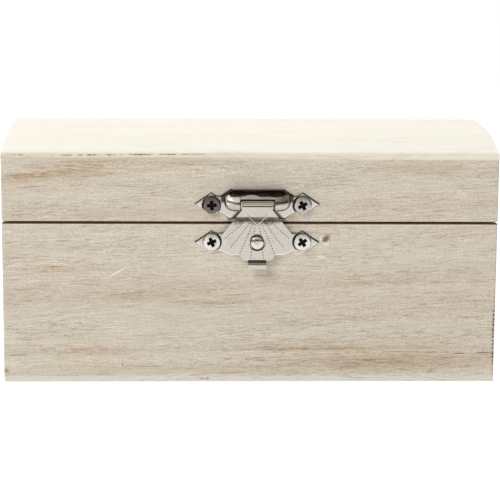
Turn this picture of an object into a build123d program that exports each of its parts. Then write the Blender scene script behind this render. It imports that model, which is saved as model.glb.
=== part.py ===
from build123d import *
import math
import os

# Small wooden treasure chest: a hinged lid with an arched top sheet and a nickel hasp.
# Origin at the middle of the underside, X along the front, front face towards -Y, Z up.

# Wooden box
box_width = 125.0
box_depth = 75.0
base_height = 40.8
seam_gap = 0.4
lid_side_height = 17.3
lid_rise = 5.6
bottom_thickness = 1.5
panel_thickness = 6.0
sheet_thickness = 1.6
corner_round = 0.5
seam_edge_round = 0.3
sheet_edge_round = 1.3

# Hasp plates; heights count from the middle of the seam
hasp_offset = 1.6
plate_thickness = 0.5
hasp_screw_reach = 11.4
plate_tip_reach = 4.4
upper_plate_rise = 4.7
upper_plate_half_height = 3.75
upper_screw_drop = 0.25
catch_plate_drop = 4.9
catch_plate_half_height = 3.6

# Plate outlines from the tip round to the middle, as shares of the half span and of the half height
upper_top_shares = ((1.0, 0.02), (0.86, 0.42), (0.725, 0.8), (0.65, 0.6), (0.565, 0.62), (0.43, 1.0))
upper_low_shares = ((1.0, 0.02), (0.86, -0.36), (0.715, -0.74), (0.64, -0.6), (0.55, -0.66), (0.4, -1.0))
catch_top_shares = ((1.0, 0.0), (0.86, 0.4), (0.725, 0.83), (0.64, 0.66), (0.56, 0.7), (0.45, 0.75))
catch_low_shares = ((1.0, 0.0), (0.86, -0.44), (0.725, -0.83), (0.64, -0.68), (0.57, -0.7), (0.44, -1.0))

# Pin of the hasp, the hood over it and the window in the hood
pin_rise = 5.3
pin_radius = 0.5
pin_half_length = 6.9
pin_play = 0.06
barrel_wall = 0.64
barrel_gap = 0.15
hood_gap = 0.2
hood_wall = 0.5
hood_top_proud = 1.2
hood_full_reach = 5.0
hood_end_reach = 8.3
hood_end_share = 0.22
hood_steps = 4
window_half_width = 4.15
window_side_gap = 0.25
window_top_rise = 0.9

# Shell shaped flap; drops count from the pin
flap_thickness = 0.5
fan_gap = 0.8
flap_knuckle_gap = 0.2
bend_start_drop = 3.75
bend_end_drop = 4.9
fan_corner_drop = 8.4
fan_bottom_drop = 14.6
fan_screw_gap = 0.28
# Lower edge of the shell from its corner, as shares of the half width and of the drop to the bottom
fan_edge_shares = ((1.0, 0.0), (0.93, 0.12), (0.89, 0.17), (0.83, 0.4), (0.72, 0.53), (0.62, 0.66),
                   (0.5, 0.72), (0.46, 0.92), (0.32, 1.07))
tab_half_width = 2.3
tab_reach = 1.2
tab_shoulder_drop = 15.7
tab_bottom_drop = 16.8
chevron_half_width = 2.3
chevron_top_drop = 3.3
chevron_bottom_drop = 5.45
chevron_stroke = 0.3
chevron_relief = 0.12
dot_radius = 0.14
dot_depth = 0.14
dot_pitch = 0.66
# Ray ends, as shares of the fan's half width and of its height above the lower edge
dot_ray_shares = (((0.41, 0.96), (0.88, 0.58)), ((0.22, 0.955), (0.72, 0.352)),
                  ((0.15, 0.89), (0.48, 0.173)), ((0.07, 0.83), (0.18, 0.063)))

# Stud that the flap closes over
stud_radius = 1.83
stud_show = 1.2
stud_rim_show = 0.2
stud_clearance = 0.3
stud_tenon_radius = 0.8
stud_peen_radius = 1.3
stud_peen_height = 0.5
stud_recess_clearance = 0.2

# Cross head screws of the hasp
screw_head_radius = 2.12
screw_head_height = 0.85
screw_head_rim = 0.65
screw_shank_radius = 0.85
screw_grip_share = 0.68
screw_tip_length = 1.2
recess_length = 2.4
recess_width = 0.66
recess_depth = 0.55
upper_screw_turns = (4.0, 28.0)
catch_screw_turns = (22.0, 34.0)
pilot_clearance = 0.05

# Two butt hinges on the back, with a stop for the open lid
hinge_inset = 24.5
hinge_width = 16.0
hinge_leaf_height = 9.0
hinge_leaf_thickness = 0.6
hinge_leaf_round = 1.0
hinge_knuckle_radius = 1.1
hinge_pin_radius = 0.5
hinge_play = 0.05
hinge_stand_off = 0.15
centre_knuckle_width = 6.0
knuckle_gap = 0.2
hinge_screw_reach = 4.6
hinge_screw_drop = 5.4
hinge_screw_head_radius = 1.5
hinge_screw_head_height = 0.7
hinge_screw_head_rim = 0.2
hinge_screw_shank_radius = 0.6
hinge_screw_grip_share = 0.6
hinge_screw_tip_length = 0.9
hinge_recess_length = 1.7
hinge_recess_width = 0.42
hinge_recess_depth = 0.4
hinge_screw_turns = (12.0, 51.0)
stop_wall = 0.5
stop_start_angle = -35.0
lid_open_angle = 100.0
stop_margin_angle = 2.0

overrun = 1.0

# Places and sizes worked out from those above
front_y = -box_depth / 2
back_y = box_depth / 2
side_x = box_width / 2
inner_half_width = side_x - panel_thickness
inner_half_depth = back_y - panel_thickness
seam_height = base_height + seam_gap / 2
lid_bottom = base_height + seam_gap
shoulder_height = lid_bottom + lid_side_height
crest_height = shoulder_height + lid_rise
arch_radius = (back_y ** 2 + lid_rise ** 2) / (2 * lid_rise)

plate_half_span = hasp_screw_reach + plate_tip_reach
upper_plate_height = seam_height + upper_plate_rise
upper_screw_height = upper_plate_height - upper_screw_drop
catch_height = seam_height - catch_plate_drop
screw_length = plate_thickness + panel_thickness * screw_grip_share
hinge_screw_length = hinge_leaf_thickness + panel_thickness * hinge_screw_grip_share

pin_height = seam_height + pin_rise
barrel_radius = pin_radius + pin_play + barrel_wall
barrel_half_length = window_half_width - window_side_gap
pin_proud = plate_thickness + barrel_gap + barrel_radius
hood_radius = barrel_radius + hood_gap + hood_wall
hood_top_rise = upper_plate_height + upper_plate_half_height - pin_height
neck_proud = pin_proud - barrel_radius
neck_drop = hood_radius + flap_knuckle_gap
fan_proud = plate_thickness + fan_gap
fan_half_width = hasp_screw_reach - screw_head_radius - fan_screw_gap
stud_height = fan_gap + flap_thickness + stud_show
stud_rim = fan_gap + flap_thickness + stud_rim_show

hinge_reach = side_x - hinge_inset
hinge_axis_y = back_y + hinge_stand_off + hinge_knuckle_radius
stop_inner_radius = hinge_knuckle_radius + hinge_stand_off
stop_outer_radius = stop_inner_radius + stop_wall
leaf_face_offset = hinge_knuckle_radius + hinge_stand_off - hinge_leaf_thickness
stop_contact_angle = 180 + math.degrees(math.asin(leaf_face_offset / stop_outer_radius))
stop_end_angle = stop_contact_angle - lid_open_angle - stop_margin_angle

FRONT = Plane(origin=(hasp_offset, front_y, 0), x_dir=(1, 0, 0), z_dir=(0, -1, 0))
BACK = Plane(origin=(0, back_y, 0), x_dir=(-1, 0, 0), z_dir=(0, 1, 0))
HASP_SIDE = Plane(origin=(hasp_offset, front_y, 0), x_dir=(0, -1, 0), z_dir=(-1, 0, 0))
HINGE_SIDE = Plane(origin=(0, hinge_axis_y, seam_height), x_dir=(0, 1, 0), z_dir=(1, 0, 0))


def span_box(x_range, y_range, z_range):
    """Box between two corners, given as ranges along X, Y and Z."""
    ranges = (x_range, y_range, z_range)
    size = [high - low for low, high in ranges]
    middle = [(low + high) / 2 for low, high in ranges]
    return Pos(*middle) * Box(*size)


def x_cylinder(radius, x_from, x_to, y, z):
    """Cylinder along X between two places."""
    plane = Plane(origin=(x_from, y, z), x_dir=(0, 1, 0), z_dir=(1, 0, 0))
    return extrude(plane * Circle(radius), amount=x_to - x_from)


def domed_disc(radius, height, rim):
    """Disc on Z = 0 with an upright rim and a spherical top."""
    cap = height - rim
    sphere_radius = (radius ** 2 + cap ** 2) / (2 * cap)
    disc = Cylinder(radius, height, align=(Align.CENTER, Align.CENTER, Align.MIN))
    return disc & Pos(0, 0, height - sphere_radius) * Sphere(sphere_radius)


def cross_screw(head, shank, recess, turn):
    """Screw along Z: the head's seat is at Z = 0, the shank points down."""
    head_radius, head_height, head_rim = head
    shank_radius, length, tip_length = shank
    bar_length, bar_width, bar_depth = recess
    straight = length - tip_length
    screw = domed_disc(head_radius, head_height, head_rim)
    screw += Cylinder(shank_radius, straight, align=(Align.CENTER, Align.CENTER, Align.MAX))
    tip = Cone(0, shank_radius, tip_length, align=(Align.CENTER, Align.CENTER, Align.MAX))
    screw += Pos(0, 0, -straight) * tip
    bar = Box(bar_length, bar_width, bar_depth + overrun, align=(Align.CENTER, Align.CENTER, Align.MIN))
    for angle in (turn, turn + 90):
        screw -= Pos(0, 0, head_height - bar_depth) * Rot(0, 0, angle) * bar
    return screw.solid()


def hasp_screw(turn):
    head = (screw_head_radius, screw_head_height, screw_head_rim)
    recess = (recess_length, recess_width, recess_depth)
    shank = (screw_shank_radius, screw_length, screw_tip_length)
    return cross_screw(head, shank, recess, turn)


def hinge_screw(turn):
    head = (hinge_screw_head_radius, hinge_screw_head_height, hinge_screw_head_rim)
    recess = (hinge_recess_length, hinge_recess_width, hinge_recess_depth)
    shank = (hinge_screw_shank_radius, hinge_screw_length, hinge_screw_tip_length)
    return cross_screw(head, shank, recess, turn)


def hasp_screws(height, turns):
    """The two screws of one hasp plate, seated on its face."""
    seats = zip((-hasp_screw_reach, hasp_screw_reach), turns)
    return [FRONT * Pos(x, height, plate_thickness) * hasp_screw(turn) for x, turn in seats]


def hinge_screw_places(direction):
    """Screw places on the back, direction 1 above the seam and -1 below it."""
    height = seam_height + direction * hinge_screw_drop
    reaches = [side * hinge_reach + step * hinge_screw_reach for side in (-1, 1) for step in (-1, 1)]
    return [(reach, height) for reach in reaches]


def hinge_screws(direction):
    """The four screws of the upper or the lower hinge leaves."""
    turns = hinge_screw_turns * 2
    places = zip(hinge_screw_places(direction), turns)
    return [BACK * Pos(x, z, hinge_leaf_thickness) * hinge_screw(turn) for (x, z), turn in places]


def pilot_holes(plane, places, shank_radius, depth):
    """Blind holes into the wood below a face."""
    hole = Cylinder(shank_radius + pilot_clearance, depth + overrun,
                    align=(Align.CENTER, Align.CENTER, Align.MIN))
    return [plane * Pos(x, z, -depth) * hole for x, z in places]


def hasp_pilots(height):
    places = [(-hasp_screw_reach, height), (hasp_screw_reach, height)]
    depth = screw_length - plate_thickness + pilot_clearance
    return pilot_holes(FRONT, places, screw_shank_radius, depth)


def hinge_pilots(direction):
    depth = hinge_screw_length - hinge_leaf_thickness + pilot_clearance
    return pilot_holes(BACK, hinge_screw_places(direction), hinge_screw_shank_radius, depth)


def cut_all(solid, cutters):
    for cutter in cutters:
        solid -= cutter
    return solid.solid()


def panels(block, z_low, z_high):
    """Front, back, left and right panels of a block; the sides stand between front and back."""
    full_x = (-side_x - overrun, side_x + overrun)
    inner_y = (-inner_half_depth, inner_half_depth)
    height = (z_low, z_high)
    front = block & span_box(full_x, (front_y - overrun, -inner_half_depth), height)
    back = block & span_box(full_x, (inner_half_depth, back_y + overrun), height)
    left = block & span_box((-side_x - overrun, -inner_half_width), inner_y, height)
    right = block & span_box((inner_half_width, side_x + overrun), inner_y, height)
    return front, back, left, right


def base_block():
    """Outer shape of the base with its rounded corners and seam edge."""
    block = extrude(RectangleRounded(box_width, box_depth, corner_round), amount=base_height)
    return fillet(block.faces().sort_by(Axis.Z)[-1].edges(), seam_edge_round)


def stud_recess():
    """Shallow blind hole behind the catch plate for the peened end of the stud."""
    radius = stud_peen_radius + stud_recess_clearance
    depth = stud_peen_height + stud_recess_clearance
    hole = Cylinder(radius, depth + overrun, align=(Align.CENTER, Align.CENTER, Align.MIN))
    return FRONT * Pos(0, catch_height, -depth) * hole


def base_parts():
    block = base_block()
    front, back, left, right = panels(block, bottom_thickness, base_height + overrun)
    bottom_z = (-overrun, bottom_thickness)
    bottom = block & span_box((-box_width, box_width), (-box_depth, box_depth), bottom_z)
    return {
        "base_front_panel": cut_all(front, hasp_pilots(catch_height) + [stud_recess()]),
        "base_back_panel": cut_all(back, hinge_pilots(-1)),
        "base_left_panel": left,
        "base_right_panel": right,
        "bottom_plate": bottom,
    }


def lid_block():
    """Outer shape of the lid: upright front and back under one arched top."""
    low_front = (front_y, lid_bottom)
    shoulder_front = (front_y, shoulder_height)
    shoulder_back = (back_y, shoulder_height)
    outline = [
        Line(low_front, shoulder_front),
        ThreePointArc(shoulder_front, (0, crest_height), shoulder_back),
        Line(shoulder_back, (back_y, lid_bottom)),
        Line((back_y, lid_bottom), low_front),
    ]
    profile = make_face(outline)
    shoulders = profile.vertices().sort_by(Axis.Y)[-2:]
    profile = fillet(shoulders, sheet_edge_round)
    block = extrude(Plane.YZ * profile, amount=side_x, both=True)
    ends = block.faces().filter_by(Axis.X)
    rims = [edge for end in ends for edge in end.edges() if edge.center().Z > lid_bottom + corner_round]
    block = fillet(rims, corner_round)
    return fillet(block.faces().sort_by(Axis.Z)[0].edges(), seam_edge_round)


def lid_parts():
    block = lid_block()
    arch_centre = crest_height - arch_radius
    under_sheet = x_cylinder(arch_radius - sheet_thickness, -box_width, box_width, 0, arch_centre)
    front, back, left, right = panels(block & under_sheet, lid_bottom - overrun, crest_height)
    return {
        "lid_front_panel": cut_all(front, hasp_pilots(upper_screw_height)),
        "lid_back_panel": cut_all(back, hinge_pilots(1)),
        "lid_left_panel": left,
        "lid_right_panel": right,
        "lid_top_sheet": block - under_sheet,
    }


def hasp_outline(top_shares, low_shares, middle_height, half_height):
    """Closed plate outline, mirrored about the middle, with arcs between every second point."""
    def place(share, side):
        return (side * share[0] * plate_half_span, middle_height + share[1] * half_height)

    edges = []
    for shares in (top_shares, low_shares):
        for side in (-1, 1):
            tip, flank, bump, dip, waist, middle = [place(share, side) for share in shares]
            edges += [ThreePointArc(tip, flank, bump), ThreePointArc(bump, dip, waist), Line(waist, middle)]
        edges.append(Line(place(shares[-1], -1), place(shares[-1], 1)))
    return make_face(edges)


def flat_plate(outline, screw_height):
    """Stamped plate lying on the front face, with its screw holes."""
    plate = extrude(FRONT * outline, amount=plate_thickness)
    hole = Cylinder(screw_shank_radius + pilot_clearance, plate_thickness + overrun)
    for x in (-hasp_screw_reach, hasp_screw_reach):
        plate -= FRONT * Pos(x, screw_height, plate_thickness / 2) * hole
    return plate


def hood_section(nose_radius, nose_proud, top_rise, top_proud):
    """Side section of the hood: a round nose below the pin, a larger crown above it, a narrow shelf."""
    front = nose_proud + nose_radius
    crown_proud = (front ** 2 - top_proud ** 2 - top_rise ** 2) / (2 * (front - top_proud))
    crown_radius = front - crown_proud
    lean = math.atan2(top_rise, top_proud - crown_proud) / 2
    crown = (crown_proud + crown_radius * math.cos(lean), pin_height + crown_radius * math.sin(lean))
    slant = nose_radius / math.sqrt(2)
    low = pin_height - nose_radius
    top = (top_proud, pin_height + top_rise)
    shelf_end = (0, pin_height + top_rise)
    return make_face([
        Line((0, low), (nose_proud, low)),
        ThreePointArc((nose_proud, low), (nose_proud + slant, pin_height - slant), (front, pin_height)),
        ThreePointArc((front, pin_height), crown, top),
        Line(top, shelf_end),
        Line(shelf_end, (0, low)),
    ])


def hood_middle(wall):
    """Straight stretch of the hood, or with a wall the room inside it."""
    section = hood_section(hood_radius - wall, pin_proud, hood_top_rise - 2 * wall, hood_top_proud)
    return extrude(HASP_SIDE * section, amount=hood_full_reach - wall, both=True)


def hood_ends():
    """Rounded ends of the hood: its section shrinks ever faster towards the tip."""
    sections = []
    for step in range(hood_steps + 1):
        away = step / hood_steps
        size_share = 1 - (1 - hood_end_share) * away ** 3
        slow_share = (1 + size_share) / 2
        sizes = (pin_proud * slow_share, hood_top_rise * size_share, hood_top_proud * size_share)
        section = hood_section(hood_radius * size_share, *sizes)
        reach = hood_full_reach + (hood_end_reach - hood_full_reach) * away
        sections.append(HASP_SIDE * Pos(0, 0, reach) * section)
    end = loft(sections)
    return end + mirror(end, about=Plane(origin=(hasp_offset, 0, 0), z_dir=(1, 0, 0)))


def hasp_plate():
    """Upper plate: flat wings, raised hood with a knuckle at each end, and the window for the flap."""
    outline = hasp_outline(upper_top_shares, upper_low_shares, upper_plate_height, upper_plate_half_height)
    plate = flat_plate(outline, upper_screw_height)
    plate += hood_middle(0)
    plate += hood_ends()
    plate -= hood_middle(hood_wall)
    window_x = (hasp_offset - window_half_width, hasp_offset + window_half_width)
    window_y = (front_y - pin_proud - hood_radius - overrun, front_y - plate_thickness)
    window_z = (pin_height - hood_radius - overrun, pin_height + window_top_rise)
    plate -= span_box(window_x, window_y, window_z)
    return plate - hasp_pin()


def hasp_pin():
    x_from = hasp_offset - pin_half_length
    return x_cylinder(pin_radius, x_from, x_from + 2 * pin_half_length, front_y - pin_proud, pin_height)


def sheet_section(points, thickness):
    """Closed side section of a bent sheet, from its back line and its thickness along the proud axis."""
    front_points = [(proud + thickness, height) for proud, height in reversed(points)]
    return make_face(Polyline(*points, *front_points, close=True))


def flap_section(relief):
    """Side section of the flap below its barrel, thickened in front by a relief."""
    drops = [(neck_proud, 0), (neck_proud, bend_start_drop), (fan_proud, bend_end_drop),
             (fan_proud, tab_bottom_drop)]
    return sheet_section([(proud, pin_height - drop) for proud, drop in drops], flap_thickness + relief)


def fan_outline():
    """Front outline of the shell: a narrow neck, straight flanks and a scalloped lower edge."""
    reach = fan_bottom_drop - fan_corner_drop
    edge = [(x * fan_half_width, fan_corner_drop + drop * reach) for x, drop in fan_edge_shares]
    right = [(barrel_half_length, 0), (barrel_half_length, neck_drop)] + edge
    left = [(-x, drop) for x, drop in reversed(right)]
    return make_face(Polyline(*[(x, pin_height - drop) for x, drop in right + left], close=True))


def flap_tab():
    """Finger tab under the fan, bent outwards and then down."""
    tab_proud = fan_proud + tab_reach
    drops = [(fan_proud, fan_bottom_drop - flap_thickness), (fan_proud, fan_bottom_drop),
             (tab_proud, tab_shoulder_drop), (tab_proud, tab_bottom_drop)]
    section = sheet_section([(proud, pin_height - drop) for proud, drop in drops], flap_thickness)
    return extrude(HASP_SIDE * section, amount=tab_half_width, both=True)


def dot_places():
    """Places of the punched dots along four rays, mirrored to the other side."""
    low = pin_height - fan_bottom_drop
    height = fan_bottom_drop - bend_end_drop
    places = []
    for start, end in dot_ray_shares:
        x1, z1 = start[0] * fan_half_width, low + start[1] * height
        x2, z2 = end[0] * fan_half_width, low + end[1] * height
        count = int(math.hypot(x2 - x1, z2 - z1) / dot_pitch)
        for step in range(count + 1):
            share = step / count
            x, z = x1 + (x2 - x1) * share, z1 + (z2 - z1) * share
            places += [(x, z), (-x, z)]
    return places


def chevron():
    """Raised V pressed into the bend of the flap."""
    top = pin_height - chevron_top_drop
    bottom = pin_height - chevron_bottom_drop
    drop = chevron_stroke * math.hypot(chevron_half_width, top - bottom) / chevron_half_width
    line = [(-chevron_half_width, top), (0, bottom), (chevron_half_width, top)]
    lower = [(x, z - drop) for x, z in reversed(line)]
    prism = extrude(FRONT * make_face(Polyline(*line, *lower, close=True)), amount=pin_proud + hood_radius)
    raised = extrude(HASP_SIDE * flap_section(chevron_relief), amount=fan_half_width, both=True)
    return prism & raised


def stud_hole():
    hole = Cylinder(stud_radius + stud_clearance, fan_proud + flap_thickness + overrun)
    return FRONT * Pos(0, catch_height, fan_proud) * hole


def punched_dots():
    keep_off = stud_radius + stud_clearance + dot_radius
    dot = Cylinder(dot_radius, dot_depth, align=(Align.CENTER, Align.CENTER, Align.MAX))
    spots = [(x, z) for x, z in dot_places() if math.hypot(x, z - catch_height) > keep_off]
    return [FRONT * Pos(x, z, fan_proud + flap_thickness) * dot for x, z in spots]


def hasp_flap():
    """Shell flap: barrel, neck, fan with the stud hole, chevron, punched dots and finger tab."""
    sheet = extrude(HASP_SIDE * flap_section(0), amount=fan_half_width, both=True)
    flap = sheet & extrude(FRONT * fan_outline(), amount=pin_proud + hood_radius)
    flap += flap_tab()
    flap += chevron()
    ends = (hasp_offset - barrel_half_length, hasp_offset + barrel_half_length)
    flap += x_cylinder(barrel_radius, *ends, front_y - pin_proud, pin_height)
    bore = pin_radius + pin_play
    flap -= x_cylinder(bore, ends[0] - overrun, ends[1] + overrun, front_y - pin_proud, pin_height)
    flap -= stud_hole()
    return flap - punched_dots()


def catch_plate():
    outline = hasp_outline(catch_top_shares, catch_low_shares, catch_height, catch_plate_half_height)
    plate = flat_plate(outline, catch_height)
    hole = Cylinder(stud_tenon_radius, plate_thickness + overrun)
    return plate - FRONT * Pos(0, catch_height, plate_thickness / 2) * hole


def catch_stud():
    """Domed rivet: head on the plate, tenon through it, peened end in the recess behind."""
    stud = domed_disc(stud_radius, stud_height, stud_rim)
    tenon_length = plate_thickness + stud_peen_height
    stud += Cylinder(stud_tenon_radius, tenon_length, align=(Align.CENTER, Align.CENTER, Align.MAX))
    peen = Cylinder(stud_peen_radius, stud_peen_height, align=(Align.CENTER, Align.CENTER, Align.MAX))
    stud += Pos(0, 0, -plate_thickness) * peen
    return FRONT * Pos(0, catch_height, plate_thickness) * stud


def leaf_plate(middle_x, direction):
    """Flat part of a hinge leaf, direction 1 above the seam and -1 below it."""
    half = hinge_width / 2
    ends = sorted((seam_height, seam_height + direction * hinge_leaf_height))
    plate = span_box((middle_x - half, middle_x + half), (back_y, back_y + hinge_leaf_thickness), ends)
    far_edges = plate.edges().filter_by(Axis.Y).sort_by(Axis.Z)
    plate = fillet(far_edges[-2:] if direction > 0 else far_edges[:2], hinge_leaf_round)
    hole = Cylinder(hinge_screw_shank_radius + pilot_clearance, hinge_leaf_thickness + overrun)
    for step in (-hinge_screw_reach, hinge_screw_reach):
        height = seam_height + direction * hinge_screw_drop
        plate -= BACK * Pos(-middle_x + step, height, hinge_leaf_thickness / 2) * hole
    return plate


def knuckle(middle_x, x_from, x_to, bore):
    """Length of hinge tube with its bore."""
    ends = (middle_x + x_from, middle_x + x_to)
    tube = x_cylinder(hinge_knuckle_radius, *ends, hinge_axis_y, seam_height)
    return tube - x_cylinder(bore, ends[0] - overrun, ends[1] + overrun, hinge_axis_y, seam_height)


def knuckle_room(middle_x, x_from, x_to):
    """Space kept clear in a leaf for the other leaf's knuckle."""
    reach = hinge_knuckle_radius + hinge_stand_off
    return span_box((middle_x + x_from, middle_x + x_to), (back_y - overrun, hinge_axis_y + reach),
                    (seam_height - reach, seam_height + reach))


def lower_leaf(middle_x):
    half = hinge_width / 2
    centre_half = centre_knuckle_width / 2
    leaf = leaf_plate(middle_x, -1)
    leaf -= knuckle_room(middle_x, -half - overrun, -centre_half)
    leaf -= knuckle_room(middle_x, centre_half, half + overrun)
    pin = x_cylinder(hinge_pin_radius, middle_x - half, middle_x + half, hinge_axis_y, seam_height)
    leaf += knuckle(middle_x, -centre_half, centre_half, hinge_pin_radius)
    return leaf - pin


def stop_tongue(middle_x):
    """Curled tongue of the upper leaf that meets the lower leaf when the lid is fully open."""
    inner, outer = stop_inner_radius, stop_outer_radius
    start, end = stop_start_angle, stop_end_angle

    def at(radius, angle):
        turn = math.radians(angle)
        return (radius * math.sin(turn), radius * math.cos(turn))

    middle = (start + end) / 2
    edges = [
        ThreePointArc(at(inner, start), at(inner, middle), at(inner, end)),
        Line(at(inner, end), at(outer, end)),
        ThreePointArc(at(outer, end), at(outer, middle), at(outer, start)),
        Line(at(outer, start), at(inner, start)),
    ]
    half = centre_knuckle_width / 2 - knuckle_gap
    return Pos(middle_x, 0, 0) * extrude(HINGE_SIDE * make_face(edges), amount=half, both=True)


def upper_leaf(middle_x):
    half = hinge_width / 2
    inner_edge = centre_knuckle_width / 2 + knuckle_gap
    bore = hinge_pin_radius + hinge_play
    leaf = leaf_plate(middle_x, 1)
    leaf -= knuckle_room(middle_x, -inner_edge, inner_edge)
    for side in (-1, 1):
        ends = sorted((side * inner_edge, side * half))
        leaf -= x_cylinder(bore, middle_x + ends[0], middle_x + ends[1], hinge_axis_y, seam_height)
        leaf += knuckle(middle_x, ends[0], ends[1], bore)
    return leaf + stop_tongue(middle_x)


def hinge_pin(middle_x):
    half = hinge_width / 2
    return x_cylinder(hinge_pin_radius, middle_x - half, middle_x + half, hinge_axis_y, seam_height)


def hardware_parts():
    nodes = {
        "hasp_plate": hasp_plate(),
        "hasp_pin": hasp_pin(),
        "hasp_screws": Compound(hasp_screws(upper_screw_height, upper_screw_turns)),
        "hasp_flap": hasp_flap(),
        "catch_plate": catch_plate(),
        "catch_stud": catch_stud(),
        "catch_screws": Compound(hasp_screws(catch_height, catch_screw_turns)),
        "hinge_lower_screws": Compound(hinge_screws(-1)),
        "hinge_upper_screws": Compound(hinge_screws(1)),
    }
    for name, side in (("left", -1), ("right", 1)):
        nodes[name + "_hinge_lower_leaf"] = lower_leaf(side * hinge_reach)
        nodes[name + "_hinge_upper_leaf"] = upper_leaf(side * hinge_reach)
        nodes[name + "_hinge_pin"] = hinge_pin(side * hinge_reach)
    return nodes


os.makedirs("parts", exist_ok=True)
for node, shape in {**base_parts(), **lid_parts(), **hardware_parts()}.items():
    export_step(shape, "parts/" + node + ".step")
    print(node, len(shape.solids()), round(shape.volume, 2))
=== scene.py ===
"""Looks of a small wooden treasure chest with a nickel hasp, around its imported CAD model."""
import math

import bpy
import numpy as np
from mathutils import Matrix, Vector


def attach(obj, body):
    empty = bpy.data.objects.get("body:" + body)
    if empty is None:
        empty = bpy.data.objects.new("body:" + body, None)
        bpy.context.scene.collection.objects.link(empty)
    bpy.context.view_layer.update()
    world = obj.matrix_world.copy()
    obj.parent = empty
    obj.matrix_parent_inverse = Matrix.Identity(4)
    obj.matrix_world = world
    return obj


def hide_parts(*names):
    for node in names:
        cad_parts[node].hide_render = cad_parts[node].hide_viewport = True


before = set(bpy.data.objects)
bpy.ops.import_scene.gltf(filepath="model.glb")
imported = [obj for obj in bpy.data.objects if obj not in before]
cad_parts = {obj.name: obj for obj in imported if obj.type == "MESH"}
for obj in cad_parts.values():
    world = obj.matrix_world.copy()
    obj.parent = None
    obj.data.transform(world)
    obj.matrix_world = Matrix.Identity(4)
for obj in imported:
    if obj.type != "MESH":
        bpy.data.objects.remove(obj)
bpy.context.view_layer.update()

MM = 0.001

# Places on the front, in millimetres: the boards' face, the hasp's middle, and heights of its pin, upper
# screws, stud and screws below, of the flap's lower end and of the foot of the ramp up to its neck
FRONT_Y = -37.5
HASP_X = 1.6
PIN_Z = 46.3
LID_SCREW_Z = 45.45
STUD_Z = 36.1
FLAP_LOW = 31.7
RAMP_LOW = 41.35


def paint(red, green, blue):
    """Colour as a screen shows it, 0 to 255, turned into the linear colour that shaders take."""
    parts = np.array([red, green, blue]) / 255
    linear = np.where(parts <= 0.04045, parts / 12.92, ((parts + 0.055) / 1.055) ** 2.4)
    return (*linear.tolist(), 1.0)


# Small tools for shader trees

def feed(node, feeds):
    """Feeds inputs of a node with sockets or plain values."""
    for name, value in feeds.items():
        if isinstance(value, bpy.types.NodeSocket):
            node.id_data.links.new(value, node.inputs[name])
        else:
            node.inputs[name].default_value = value


def add(tree, kind, feeds=None, **settings):
    """Adds a node, sets it up and feeds it."""
    made = tree.nodes.new(kind)
    for name, value in settings.items():
        setattr(made, name, value)
    feed(made, feeds or {})
    return made


def add_behind(kind, feeds, **settings):
    """Adds a node to the tree that the sockets among its feeds belong to."""
    trees = [value.id_data for value in feeds.values() if isinstance(value, bpy.types.NodeSocket)]
    return add(trees[0], kind, feeds, **settings)


def reckon(operation, *values):
    return add_behind("ShaderNodeMath", dict(enumerate(values)), operation=operation).outputs[0]


def times(first, second):
    return reckon("MULTIPLY", first, second)


def times_plus(first, second, more):
    """First times second, plus more."""
    return reckon("MULTIPLY_ADD", first, second, more)


def minus(first, second):
    return reckon("SUBTRACT", first, second)


def reckon_vector(operation, *values):
    return add_behind("ShaderNodeVectorMath", dict(enumerate(values)), operation=operation).outputs[0]


def measure(operation, *values):
    """Number that comes of a vector operation, such as a length."""
    return add_behind("ShaderNodeVectorMath", dict(enumerate(values)), operation=operation).outputs["Value"]


def scaled(vector, factor):
    return add_behind("ShaderNodeVectorMath", {0: vector, "Scale": factor}, operation="SCALE").outputs[0]


def split(point):
    """Sockets X, Y and Z of a point."""
    return add_behind("ShaderNodeSeparateXYZ", {0: point}).outputs


def between(value, start, end, low=0.0, high=1.0):
    """Smooth step of a value, from low at start to high at end."""
    feeds = {0: value, 1: start, 2: end, 3: low, 4: high}
    return add_behind("ShaderNodeMapRange", feeds, interpolation_type="SMOOTHSTEP").outputs[0]


def stripe(value, edges):
    """Mask that rises smoothly between the first two edges and falls between the last two."""
    start, full, last, end = edges
    return times(between(value, start, full), between(value, end, last))


def strongest(masks):
    """Largest of several masks."""
    result = masks[0]
    for mask in masks[1:]:
        result = reckon("MAXIMUM", result, mask)
    return result


def blend(share, first, second, way="MIX"):
    feeds = {0: share, 6: first, 7: second}
    return add_behind("ShaderNodeMix", feeds, data_type="RGBA", blend_type=way).outputs[2]


def cloud(point, sizes, detail=2.0, roughness=0.55, colour=False):
    """Noise whose cells have the given sizes in millimetres along X, Y and Z."""
    stretched = reckon_vector("DIVIDE", point, sizes)
    feeds = {"Vector": stretched, "Scale": 1.0, "Detail": detail, "Roughness": roughness}
    return add_behind("ShaderNodeTexNoise", feeds).outputs[1 if colour else 0]


def new_group(name, vectors, colours, numbers, results):
    """Shader group with named inputs of three kinds; returns its tree and what comes in. Of its results,
    Color is a colour and the others are numbers."""
    tree = bpy.data.node_groups.new(name, "ShaderNodeTree")
    kinds = {"NodeSocketVector": vectors, "NodeSocketColor": colours, "NodeSocketFloat": numbers}
    for kind, sockets in kinds.items():
        for socket in sockets:
            tree.interface.new_socket(socket, in_out="INPUT", socket_type=kind)
    for socket in results:
        kind = "NodeSocketColor" if socket == "Color" else "NodeSocketFloat"
        tree.interface.new_socket(socket, in_out="OUTPUT", socket_type=kind)
    return tree, tree.nodes.new("NodeGroupInput").outputs


def use_group(group, feeds):
    return add_behind("ShaderNodeGroup", feeds, node_tree=group).outputs


def give_out(tree, results):
    add(tree, "NodeGroupOutput", results)


# Effects that several materials share

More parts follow.
